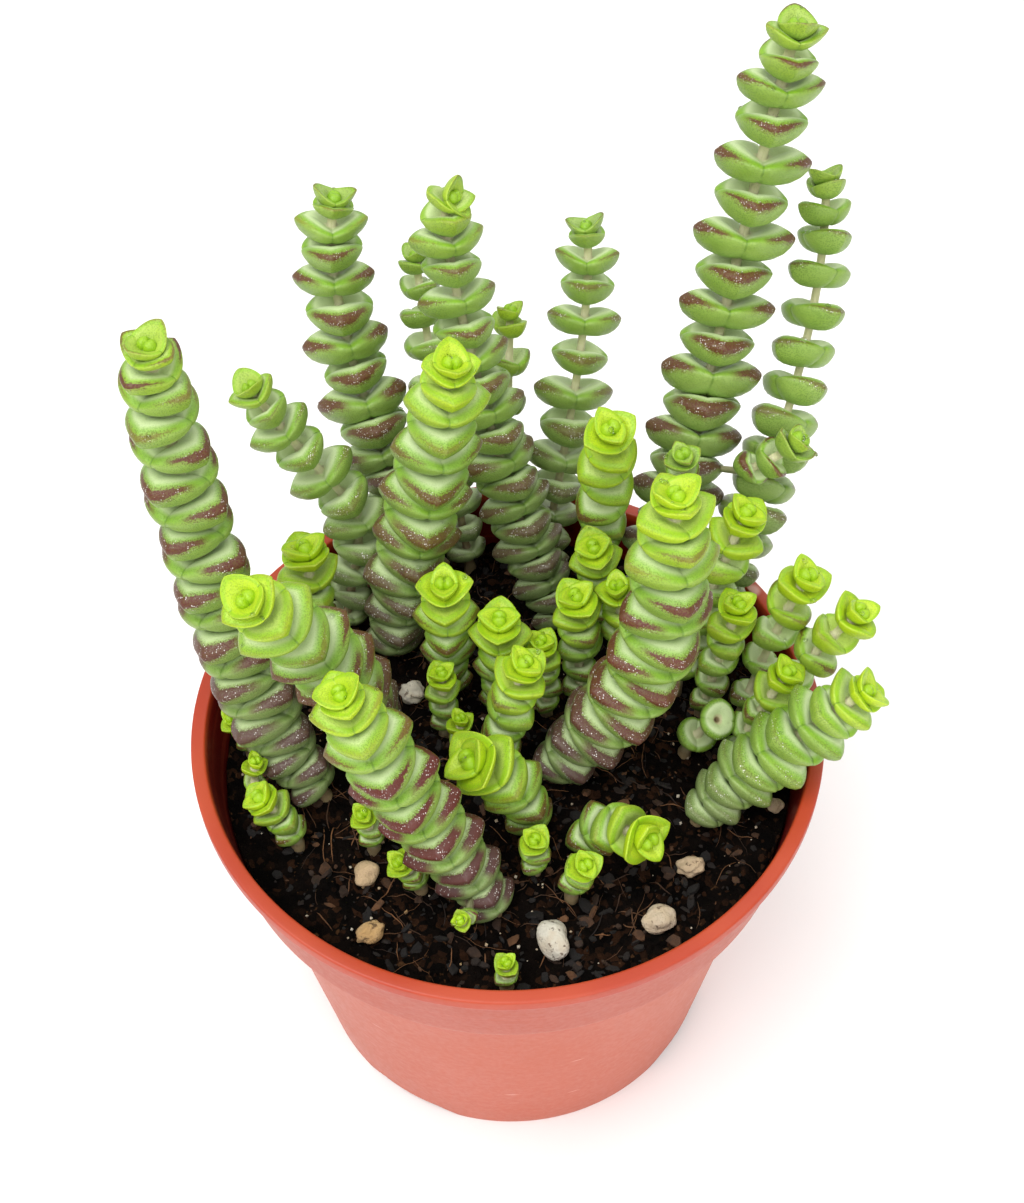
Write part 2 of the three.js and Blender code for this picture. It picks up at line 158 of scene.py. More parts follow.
def valueNoise(x, y, cell, seed, cells=64):
    # random heights on a square lattice, blended between them with 3t2 - 2t3
    lattice = np.random.default_rng(seed).uniform(-1, 1, (cells, cells))
    gx = np.asarray(x) / cell + 31.7    # the peat's middle lies near the lattice's middle
    gy = np.asarray(y) / cell + 29.3
    ix = np.floor(gx).astype(int)
    iy = np.floor(gy).astype(int)
    fx = gx - ix
    fy = gy - iy
    fx = fx * fx * (3 - 2 * fx)
    fy = fy * fy * (3 - 2 * fy)
    a = lattice[ix % cells, iy % cells]
    b = lattice[(ix + 1) % cells, iy % cells]
    c = lattice[ix % cells, (iy + 1) % cells]
    d = lattice[(ix + 1) % cells, (iy + 1) % cells]
    return (a * (1 - fx) + b * fx) * (1 - fy) + (c * (1 - fx) + d * fx) * fy


# Material helpers

def addNode(tree, kind, inputs, **settings):
    node = tree.nodes.new(kind)
    for key, value in settings.items():
        setattr(node, key, value)
    for key, value in inputs.items():
        setInput(node.inputs[key], value)
    return node


def setInput(socket, value):
    if isinstance(value, Field):
        value.tree.links.new(value.socket, socket)
    else:
        socket.default_value = value


class Field:
    # A node's output. Arithmetic on it adds Math nodes to its tree, and the rest adds nodes of other kinds.

    def __init__(self, node, output=0):
        self.tree = node.id_data
        self.socket = node.outputs[output]

    def math(self, operation, a, b=0.0, clamp=False):
        return Field(addNode(self.tree, "ShaderNodeMath", {0: a, 1: b}, operation=operation, use_clamp=clamp))

    def __add__(self, other):
        return self.math("ADD", self, other)

    def __mul__(self, other):
        return self.math("MULTIPLY", self, other)

    def __sub__(self, other):
        return self.math("SUBTRACT", self, other)

    def __rsub__(self, other):
        return self.math("SUBTRACT", other, self)

    def __abs__(self):
        return self.math("ABSOLUTE", self)

    def step(self, low, high, outLow=0.0, outHigh=1.0):
        # smooth step from low to high
        ends = {"Value": self, "From Min": low, "From Max": high, "To Min": outLow, "To Max": outHigh}
        node = addNode(self.tree, "ShaderNodeMapRange", ends, interpolation_type="SMOOTHSTEP")
        return Field(node, "Result")

    def blend(self, a, b):
        # from colour a to colour b as the field goes from 0 to 1: those are the node's sockets 6, 7 and 0
        return Field(addNode(self.tree, "ShaderNodeMix", {0: self, 6: a, 7: b}, data_type="RGBA"), 2)

    def stretched(self, scale):
        return Field(addNode(self.tree, "ShaderNodeMapping", {"Vector": self, "Scale": scale}))

    def noise(self, scale, detail, rough):
        inputs = {"Vector": self, "Scale": scale, "Detail": detail, "Roughness": rough}
        return Field(addNode(self.tree, "ShaderNodeTexNoise", inputs), "Fac")

    def cells(self, scale):
        # distance to the middle of each cell, and one random number per cell
        cells = addNode(self.tree, "ShaderNodeTexVoronoi", {"Vector": self, "Scale": scale})
        draw = addNode(self.tree, "ShaderNodeSeparateColor", {0: Field(cells, "Color")})
        return Field(cells, "Distance"), Field(draw)

    def grain(self, fine, coarse):
        inputs = {"Point": self, "Fine Scale": fine, "Coarse Scale": coarse}
        node = addNode(self.tree, "ShaderNodeGroup", inputs, node_tree=grainGroup)
        return Field(node, "Mask"), Field(node, "Height")

    def bump(self, strength, distance, **more):
        inputs = {"Height": self, "Strength": strength, "Distance": distance, **more}
        return Field(addNode(self.tree, "ShaderNodeBump", inputs))


def makeGrainGroup():
    # fine and coarse grain in one: a mask for colour and a height for bump
    group = bpy.data.node_groups.new("surfaceGrain", "ShaderNodeTree")
    for name, kind in (("Point", "Vector"), ("Fine Scale", "Float"), ("Coarse Scale", "Float")):
        group.interface.new_socket(name=name, in_out="INPUT", socket_type="NodeSocket" + kind)
    for name in ("Mask", "Height"):
        group.interface.new_socket(name=name, in_out="OUTPUT", socket_type="NodeSocketFloat")
    inside = group.nodes.new("NodeGroupInput")
    outside = group.nodes.new("NodeGroupOutput").inputs
    fine = Field(inside, "Point").noise(Field(inside, "Fine Scale"), 4.0, 0.6)
    coarse = Field(inside, "Point").noise(Field(inside, "Coarse Scale"), 2.0, 0.5)
    setInput(outside["Mask"], coarse.step(0.35, 0.65))
    setInput(outside["Height"], coarse * 0.4 + fine * 0.6)
    return group


grainGroup = makeGrainGroup()


def newMaterial(name):
    material = bpy.data.materials.new(name)
    material.use_nodes = True
    return material, material.node_tree.nodes["Principled BSDF"].inputs


def pointOf(material):
    return Field(material.node_tree.nodes.new("ShaderNodeTexCoord"), "Object")


def attributeOf(material, name):
    return Field(addNode(material.node_tree, "ShaderNodeAttribute", {}, attribute_name=name), "Fac")


def setSurface(inputs, color, roughness, normal):
    setInput(inputs["Base Color"], color)
    setInput(inputs["Roughness"], roughness)
    setInput(inputs["Normal"], normal)


def tone(red, green, blue):
    # a colour given on the 0 to 255 scale, in linear light
    def linear(v):
        v = v / 255
        return v / 12.92 if v <= 0.04045 else ((v + 0.055) / 1.055) ** 2.4
    return (linear(red), linear(green), linear(blue), 1)


# Camera and light

cameraView = {
    "place": (0, -180.3, 330.9),
    "tilt": 50.68,      # degrees below level
    "heading": 0.36,    # degrees from +Y towards +X
    "roll": -0.925,
    "lens": 53.87,
    "sensor": 36,
    "clipStart": 10,
}


def makeCamera(look):
    tilt, heading, roll = (math.radians(look[key]) for key in ("tilt", "heading", "roll"))
    level = math.cos(tilt)
    forward = Vector((math.sin(heading) * level, math.cos(heading) * level, -math.sin(tilt)))
    right = forward.cross(Vector((0, 0, 1))).normalized()
    side = right * math.cos(roll) + right.cross(forward) * math.sin(roll)
    turn = Matrix((side, side.cross(forward), -forward)).transposed()
    data = bpy.data.cameras.new("photoCamera")
    data.lens = look["lens"]
    data.sensor_width = look["sensor"]
    data.clip_start = look["clipStart"] * mm
    camera = newObject("photoCamera", data)
    camera.matrix_world = Matrix.Translation(Vector(look["place"]) * mm) @ turn.to_4x4()
    bpy.context.scene.camera = camera


studio = {
    "worldStrength": 0.60,
    "lamps": [
        # name, place (m), size (m), watts
        ("keyLamp", (-0.32, -0.25, 1.05), 1.0, 10.5),
        ("fillLamp", (0.30, -0.90, 0.55), 0.90, 4.2),
        ("backLamp", (0.40, 0.70, 0.80), 0.90, 2.6),
    ],
    "aim": (0, 0, 0.08),    # the point they face (m)
    "floor": tone(252, 252, 251), "floorReach": 4000,
}


def makeStudio(look):
    world = bpy.data.worlds.new("paleStudio")
    world.use_nodes = True
    background = world.node_tree.nodes["Background"].inputs
    background["Color"].default_value = (1, 1, 1, 1)
    background["Strength"].default_value = look["worldStrength"]
    bpy.context.scene.world = world
    for name, place, size, watts in look["lamps"]:
        data = bpy.data.lights.new(name, "AREA")
        data.shape = "DISK"
        data.size = size
        data.energy = watts
        lamp = newObject(name, data)
        lamp.location = place
        lamp.rotation_mode = "QUATERNION"
        lamp.rotation_quaternion = (Vector(look["aim"]) - Vector(place)).to_track_quat("-Z", "Y")
    corners = np.array([(-1, -1, 0), (1, -1, 0), (1, 1, 0), (-1, 1, 0)]) * look["floorReach"]
    floor = meshObject("studioFloor", corners, [(0, 1, 2, 3)])
    material, inputs = newMaterial("paleFloor")
    inputs["Base Color"].default_value = look["floor"]
    inputs["Roughness"].default_value = 0.7
    floor.data.materials.append(material)
    bpy.context.scene.view_settings.view_transform = "Standard"


makeCamera(cameraView)
makeStudio(studio)
print("camera and studio ready")


# Pot

pot = {
    "height": 80, "rimRadius": 54, "baseRadius": 38.5, "wall": 1.4,
    "collarHeight": 18.4, "collarFoot": 50.3, "wallTop": 47.1, "stepRound": 0.6,
    "beadHeight": 3, "beadReach": 1, "beadSlope": 0.6, "lipWidth": 2, "lipRound": 0.4,
    "floorThickness": 1.6, "channelInner": 27.5, "channelSlope": 2, "channelFloor": 4,
    "recesses": 4, "recessWidth": 22, "recessTop": 12, "recessHeight": 2.2, "recessAngle": -121.5,
    "recessReach": (28.5, 40.5), "slotWidth": 9, "slotHeight": 7, "slotReach": (30.5, 33.5), "cutDepth": 1,
    "columns": 192, "fillet": 0.45, "sharpAngle": 38,
}

potColors = {
    # rim: partly the plastic's own tone, partly a painted glow of light through the thin rim
    "rim": (tone(172, 56, 27), tone(182, 68, 35)), "collar": tone(170, 66, 36), "wall": tone(183, 85, 57),
    # inner: painted shade of the pot's inner wall
    "inner": tone(112, 10, 4), "line": tone(182, 78, 52), "scratch": tone(246, 216, 204),
}

# where one tone gives way to the next: heights, and for the inside a radius less a share of the height
potBands = {
    "collar": (50, 68), "rim": (75.2, 77.2), "innerShadeTop": (79.5, 78), "innerShadeFoot": (62.5, 64),
    "innerShadeReach": (40.5, 40), "innerShadeTaper": 0.15, "lines": (34, 58), "linesTop": (76.5, 75.5),
    "wander": 14,
}


def potInside(size):
    shoulder = size["height"] - size["collarHeight"]
    return [
        (0, size["floorThickness"]),
        (size["channelInner"] - size["channelSlope"], size["floorThickness"]),
        (size["channelInner"], size["channelFloor"]),
        (size["baseRadius"] - size["wall"], size["channelFloor"]),
        (size["wallTop"] - size["wall"], shoulder - size["stepRound"]),
        (size["collarFoot"] - size["wall"], shoulder + size["wall"]),
    ]


def cutAway(piece, cutter):
    modifier = piece.modifiers.new("cut", "BOOLEAN")
    modifier.operation = "DIFFERENCE"
    modifier.solver = "EXACT"
    modifier.object = cutter
    bpy.context.view_layer.objects.active = piece
    with bpy.context.temp_override(object=piece, active_object=piece, selected_objects=[piece]):
        bpy.ops.object.modifier_apply(modifier=modifier.name)
    bpy.data.objects.remove(cutter)


def prism(name, outline, reach, angle):
    # outline (y, z) pushed along X over its reach, then turned round Z
    n = len(outline)
    points = spun(np.vstack([np.column_stack([np.full(n, x), outline]) for x in reach]), angle)
    k = np.arange(n)
    sides = np.stack([k, (k + 1) % n, (k + 1) % n + n, k + n], -1).tolist()
    mesh = bpy.data.meshes.new(name)
    mesh.from_pydata((points * mm).tolist(), [], sides + [list(range(n))[::-1], list(range(n, 2 * n))])
    mesh.update()
    return newObject(name, mesh)


def overBand(value, band, *ends):
    # smooth step over a band given in mm
    return value.step(band[0] * mm, band[1] * mm, *ends)


def potMaterial(colors, bands):
    material, inputs = newMaterial("orangePlastic")
    point = pointOf(material)
    mask, height = point.grain(900, 40)
    axes = addNode(point.tree, "ShaderNodeSeparateXYZ", {0: point})
    x, y, z = (Field(axes, axis) for axis in "XYZ")
    reach = x.math("SQRT", x * x + y * y)

    # the wall is paler than the collar, the bead is the fullest orange, partly its own tone and partly a
    # painted glow of light through the thin rim, and the inside wall above the peat is painted deep red shade
    wander = (point.noise(22, 3.0, 0.6) - 0.5) * (bands["wander"] * mm)
    body = overBand(z + wander, bands["collar"]).blend(colors["wall"], colors["collar"])
    # partly painted light: the bead's fuller orange is partly the plastic's own tone and partly a painted
    # glow of light through the thin rim
    body = overBand(z, bands["rim"]).blend(body, mask.blend(*colors["rim"]))
    # painted shade: the deep red of the inner wall between the peat and the lip stands in for the shade
    # inside the pot
    inside = overBand(reach - z * bands["innerShadeTaper"], bands["innerShadeReach"])
    inside = inside * overBand(z, bands["innerShadeTop"]) * overBand(z, bands["innerShadeFoot"])
    body = inside.blend(body, colors["inner"])

    # moulding lines round the collar and the top of the wall
    rings = point.stretched((5, 5, 520)).noise(1.0, 2.0, 0.6).step(0.56, 0.72)
    rings = rings * overBand(z, bands["lines"], 0.0, 0.35) * overBand(z, bands["linesTop"])
    body = rings.blend(body, colors["line"])

    # short pale scratches lying along the wall
    distance, draw = point.stretched((55, 55, 420)).cells(1.6)
    body = (distance.step(0.16, 0.06) * draw.step(0.90, 0.93) * 0.5).blend(body, colors["scratch"])
    setSurface(inputs, body, height.step(0.3, 0.7, 0.38, 0.52), height.bump(0.10, 0.0004))
    return material


def makePot(size):
    shoulder = size["height"] - size["collarHeight"]
    rim, top = size["rimRadius"], size["height"]
    bead = top - size["beadHeight"]
    outside = [
        (0, 0), (size["baseRadius"], 0), (size["wallTop"], shoulder), (size["collarFoot"], shoulder),
        (rim - size["beadReach"], bead), (rim, bead + size["beadSlope"]), (rim, top),
        (rim - size["lipWidth"] - size["lipRound"], top), (rim - size["beadReach"] - size["lipWidth"], bead),
    ]
    profile = filletLine(outside + potInside(size)[::-1], size["fillet"])
    piece = latheObject("nursery_pot", profile, size["columns"])
    foot, half, topHalf = -size["cutDepth"], size["recessWidth"] / 2, size["recessTop"] / 2
    rise = size["recessHeight"]
    recess = [(-half, foot), (half, foot), (half, 0), (topHalf, rise), (-topHalf, rise), (-half, 0)]
    half, rise = size["slotWidth"] / 2, size["slotHeight"]
    slot = [(-half, foot), (half, foot), (half, rise), (-half, rise)]
    for i in range(size["recesses"]):
        angle = math.radians(size["recessAngle"] + 360 / size["recesses"] * i)
        cutAway(piece, prism("recessCutter", recess, size["recessReach"], angle))
        cutAway(piece, prism("slotCutter", slot, size["slotReach"], angle))
    piece.data.shade_smooth()
    piece.data.set_sharp_from_angle(angle=math.radians(size["sharpAngle"]))
    piece.data.materials.clear()
    piece.data.materials.append(potMaterial(potColors, potBands))
    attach(piece, "root")
    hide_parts("pot")


makePot(pot)
print("pot ready")


# Peat

peat = {
    "level": 69, "edge": 49.4, "fit": 0.3, "columns": 420, "rings": 120,
    "lumps": [(7.0, 0.70, 3), (3.1, 0.80, 4), (1.5, 0.70, 5), (0.8, 0.30, 6)],   # cell, height, seed
}


def peatSwell(x, y):
    # the frame's gentle swell: a product of two sines and a slanting one
    return peat["level"] + 0.4 * np.sin(0.19 * x + 1) * np.cos(0.23 * y) + 0.25 * np.sin(0.31 * x - 0.27 * y)


def peatHeight(x, y):
    # the swell with lumps of four sizes on it
    z = peatSwell(x, y)
    for cell, height, seed in peat["lumps"]:
        z = z + height * valueNoise(x, y, cell, seed)
    return z


def peatMaterial():
    # dark crumbs, some of them brown, with pale flecks
    material, inputs = newMaterial("darkPeat")
    point = pointOf(material)
    mask, height = point.grain(2200, 240)
    distance, draw = point.cells(900.0)
    color = mask.blend(tone(7, 5, 4), tone(18, 12, 9))
    color = draw.step(0.70, 1.0, 0.0, 0.5).blend(color, tone(70, 44, 28))
    color = (point.noise(700, 2.0, 0.5).step(0.66, 0.72) * 0.5).blend(color, tone(104, 72, 46))
    setSurface(inputs, color, 0.9, (height + distance * -0.6).bump(1.0, 0.0012))
    inputs["Specular IOR Level"].default_value = 0.06
    return material


def makePeat(size):
    # the pot's inside less its fit, then rings over the top, raised to the peat's height
    inside = [(max(0, r - size["fit"]), z + size["fit"]) for r, z in potInside(pot)]
    side = np.array(inside + [(size["edge"], size["level"])])
    radii = size["edge"] * (1 - np.linspace(0, 1, size["rings"] + 1)[1:-1])
    top = np.column_stack([radii, np.full(len(radii), size["level"])])
    profile = np.vstack([side[1:], top])
    grid = latheGrid(profile, size["columns"])
    raised = np.arange(len(profile)) >= len(side) - 2
    grid[..., 2] = np.where(raised[:, None], peatHeight(grid[..., 0], grid[..., 1]), grid[..., 2])
    poles = np.array([[0, 0, side[0][1]], [0, 0, float(peatHeight(0.0, 0.0))]])
    points = np.vstack([grid.reshape(-1, 3), poles])
    piece = meshObject("peat_bed", points, *skinFaces(len(profile), size["columns"]))
    piece.data.materials.append(peatMaterial())
    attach(piece, "root")
    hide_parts("soil")


makePeat(peat)
print("peat ready")


# Bark, fibres and perlite

def looseMaterial(look):
    # two tones blended by each item's own draw, under a veil of grain and, on perlite, with pits
    material, inputs = newMaterial(look["name"])
    point = pointOf(material)
    mask, height = point.grain(*look["grain"])
    color = attributeOf(material, look["draw"]).blend(*look["tones"])
    share, veil = look["veil"]
    color = (mask * share).blend(color, veil)
    if "pits" in look:
        color = (point.noise(950, 3.0, 0.6).step(0.58, 0.68) * 0.8).blend(color, look["pits"])
    setSurface(inputs, color, look["roughness"], height.bump(*look["bump"]))
    return material


bark = {
    "count": 1500, "margin": 2.5, "length": (0.6, 3.8), "lengthPower": 2.2, "halfWidth": (0.14, 0.42),
    "thickness": (0.2, 0.6), "ragged": (0.6, 1.0), "taper": 0.85, "unevenTop": 0.1, "poles": (-0.5, 0.62),
    "tilt": (0.28, 0.4), "lift": 0.15, "palePower": 5, "sides": 7, "seed": 21, "sharpAngle": 40,
    "look": {"name": "barkChips", "draw": "chipDraw", "grain": (3000, 700), "roughness": 0.8,
             "bump": (0.8, 0.0006), "tones": (tone(11, 7, 5), tone(110, 72, 42)),
             "veil": (0.45, tone(26, 17, 12))},
}


def makeBark(size):
    # each chip is a flat ragged slab: a polygon of random radii, lifted a little and tilted
    rng = np.random.default_rng(size["seed"])
    n, sides = size["count"], size["sides"]
    x, y = scatter(n, rng, peat["edge"] - size["margin"])
    shortest, longest = size["length"]
    length = shortest + (longest - shortest) * rng.uniform(0, 1, n) ** size["lengthPower"]
    angle = np.arange(sides) / sides * 2 * np.pi
    ragged = rng.uniform(*size["ragged"], (n, sides))
    u = 0.5 * length[:, None] * ragged * np.cos(angle)
    v = rng.uniform(*size["halfWidth"], n)[:, None] * length[:, None] * ragged * np.sin(angle)
    thick = rng.uniform(*size["thickness"], n)[:, None] * np.minimum(1, length / 2)[:, None]
    low = np.stack([u, v, -thick / 2 + 0 * u], -1)
    top = thick / 2 + size["unevenTop"] * rng.uniform(-1, 1, u.shape)
    high = np.stack([size["taper"] * u, size["taper"] * v, top], -1)
    poles = [np.array([0, 0, share]) * thick[..., None] for share in size["poles"]]
    points = np.concatenate([low, high, *poles], 1)
    pitch, roll = size["tilt"]
    points = turned(points, rng.uniform(0, 2 * np.pi, n), rng.normal(0, pitch, n), rng.normal(0, roll, n))
    points += np.stack([x, y, peatHeight(x, y) + size["lift"]], -1)[:, None]
    piece = manySkins("bark_chips", points, 2, sides)
    addValues(piece, {"chipDraw": np.repeat(rng.uniform(0, 1, n) ** size["palePower"], points.shape[1])})
    piece.data.set_sharp_from_angle(angle=math.radians(size["sharpAngle"]))
    piece.data.materials.append(looseMaterial(size["look"]))
    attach(piece, "root")


fibres = {
    "count": 380, "margin": 4, "length": (2, 9.5), "radius": (0.04, 0.13), "bend": 0.55, "arch": 0.8,
    "wriggle": (0.12, 9), "thinEnd": 0.35, "palePower": 1.4, "steps": 8, "sides": 4, "seed": 8,
    "look": {"name": "rootFibres", "draw": "fibreDraw", "grain": (4000, 900), "roughness": 0.75,
             "bump": (0.4, 0.0003), "tones": (tone(30, 18, 12), tone(140, 94, 56)),
             "veil": (0.3, tone(30, 20, 14))},
}


def makeFibres(size):
    # each fibre is a tapered tube along a bent line that follows the peat and arches a little over it
    rng = np.random.default_rng(size["seed"])
    n, steps, sides = size["count"], size["steps"], size["sides"]
    x, y = scatter(n, rng, peat["edge"] - size["margin"])
    length = rng.uniform(*size["length"], n)[:, None]
    heading = rng.uniform(0, 2 * np.pi, n)[:, None]
    bend = rng.normal(0, size["bend"], n)[:, None]
    t = np.linspace(-0.5, 0.5, steps)
    swing, pace = size["wriggle"]
    way = heading + bend * t + swing * np.sin(pace * t + heading)
    step = length / (steps - 1)
    px = x[:, None] + np.cumsum(step * np.cos(way), 1) - 0.5 * length * np.cos(heading)
    py = y[:, None] + np.cumsum(step * np.sin(way), 1) - 0.5 * length * np.sin(heading)
    inward = np.minimum(1, (peat["edge"] - 1) / np.hypot(px, py))
    px, py = px * inward, py * inward
    arch = rng.uniform(0.0, size["arch"], n)[:, None] * np.cos(np.pi * t) ** 2
    centre = np.stack([px, py, peatHeight(px, py) + arch], -1)
    taper = size["thinEnd"] + (1 - size["thinEnd"]) * np.cos(np.pi * t) ** 0.5
    radius = rng.uniform(*size["radius"], n)[:, None] * taper
    around = np.arange(sides) / sides * 2 * np.pi
    side = np.stack([-np.sin(way), np.cos(way), 0 * way], -1)[:, :, None]
    ring = np.cos(around)[:, None] * side + np.sin(around)[:, None] * np.array([0, 0, 1.0])
    points = (centre[:, :, None] + radius[..., None, None] * ring).reshape(n, steps * sides, 3)
    points = np.concatenate([points, centre[:, :1], centre[:, -1:]], 1)
    piece = manySkins("root_fibres", points, steps, sides)
    addValues(piece, {"fibreDraw": np.repeat(rng.uniform(0, 1, n) ** size["palePower"], points.shape[1])})
    piece.data.materials.append(looseMaterial(size["look"]))
    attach(piece, "root")


perlite = {
    # place on the peat, length, width and height, turn in degrees, and tint: 0 is white, 1 is tan
    "stones": [
        ((7, -38), (5, 7, 4), 10, 0.0), ((24, -35), (6, 4.6, 3.6), 20, 0.45),
        ((30, -25), (4.8, 3.8, 3), 0, 0.65), ((-24, -25), (4.4, 3.8, 3.2), 50, 0.75),
        ((-23, -36), (5, 3.6, 2.8), 30, 1.0), ((38, 5), (4.2, 5, 3.4), 0, 0.4),
        ((-17, 12), (4.4, 4.4, 4), 0, 0.1), ((45.5, -13), (2.6, 2.4, 2), 0, 0.6),
    ],
    "bed": 0.36, "waves": 7, "waveHeight": 0.055, "wavePace": (4, 11), "rows": 22, "columns": 32, "seed": 33,
    "grains": 170, "grainSize": (0.25, 0.9), "grainReach": (0.7, 1.3), "grainLift": 0.2, "grainMargin": 1.5,
    "grainSeed": 83,
    "look": {"name": "perliteStone", "draw": "stoneDraw", "grain": (2600, 420), "roughness": 0.9,
             "bump": (0.9, 0.0009), "tones": (tone(226, 220, 204), tone(200, 160, 106)),
             "veil": (0.35, tone(196, 168, 128)), "pits": tone(92, 68, 46)},
}


def makeStones(size, material):
    # rounded lumps: a ball swollen by seven slow waves, flattened where it lies
    rows, columns = size["rows"], size["columns"]
    v = np.pi - (np.arange(rows) + 0.7) / (rows + 0.4) * np.pi
    h = np.arange(columns) / columns * 2 * np.pi
    v, h = np.meshgrid(v, h, indexing="ij")
    ball = np.stack([np.sin(v) * np.cos(h), np.sin(v) * np.sin(h), np.cos(v)], -1).reshape(-1, 3)
    ball = np.vstack([ball, [[0, 0, -1], [0, 0, 1]]]) / 2
    for i, ((x, y), extent, turn, tint) in enumerate(size["stones"]):
        rng = np.random.default_rng(size["seed"] + i)
        bulge = np.ones(len(ball))
        for _ in range(size["waves"]):
            way = rng.normal(0, 1, 3)
            wave = np.sin(ball @ way * rng.uniform(*size["wavePace"]) + rng.uniform(0, 6))
            bulge += size["waveHeight"] * wave
        points = ball * bulge[:, None] * np.array(extent)
        bed = size["bed"] * extent[2]
        points[:, 2] = np.maximum(points[:, 2], -bed)
        points = spun(points, math.radians(turn)) + [x, y, peatSwell(x, y) + 2 * peat["fit"] + bed]
        piece = meshObject(f"stone_{i + 1}", points, *skinFaces(rows, columns))
        addValues(piece, {"stoneDraw": np.full(len(points), tint)})
        piece.data.materials.append(material)
        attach(piece, "root")
        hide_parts(f"perlite_{i + 1}")


def makeGrains(size, material):
    # each grain is an eight-sided crumb: six points at random reaches along the axes, turned at random
    rng = np.random.default_rng(size["grainSeed"])
    n = size["grains"]
    x, y = scatter(n, rng, peat["edge"] - size["grainMargin"])
    corners = np.array([(1, 0, 0), (0, 1, 0), (-1, 0, 0), (0, -1, 0), (0, 0, -1), (0, 0, 1)], float)
    radius = rng.uniform(*size["grainSize"], n)[:, None, None] / 2
    points = corners * radius * rng.uniform(*size["grainReach"], (n, len(corners), 1))
    points = turned(points, *rng.uniform(0, 6, (3, n)))
    points += np.stack([x, y, peatHeight(x, y) + size["grainLift"]], -1)[:, None]
    piece = manySkins("perlite_grains", points, 1, 4)
    addValues(piece, {"stoneDraw": np.repeat(rng.uniform(0, 1, n), len(corners))})
    piece.data.materials.append(material)
    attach(piece, "root")


makeBark(bark)
makeFibres(fibres)
stoneMaterial = looseMaterial(perlite["look"])
makeStones(perlite, stoneMaterial)
makeGrains(perlite, stoneMaterial)
print("bark, fibres and perlite ready")


# Leafy stems

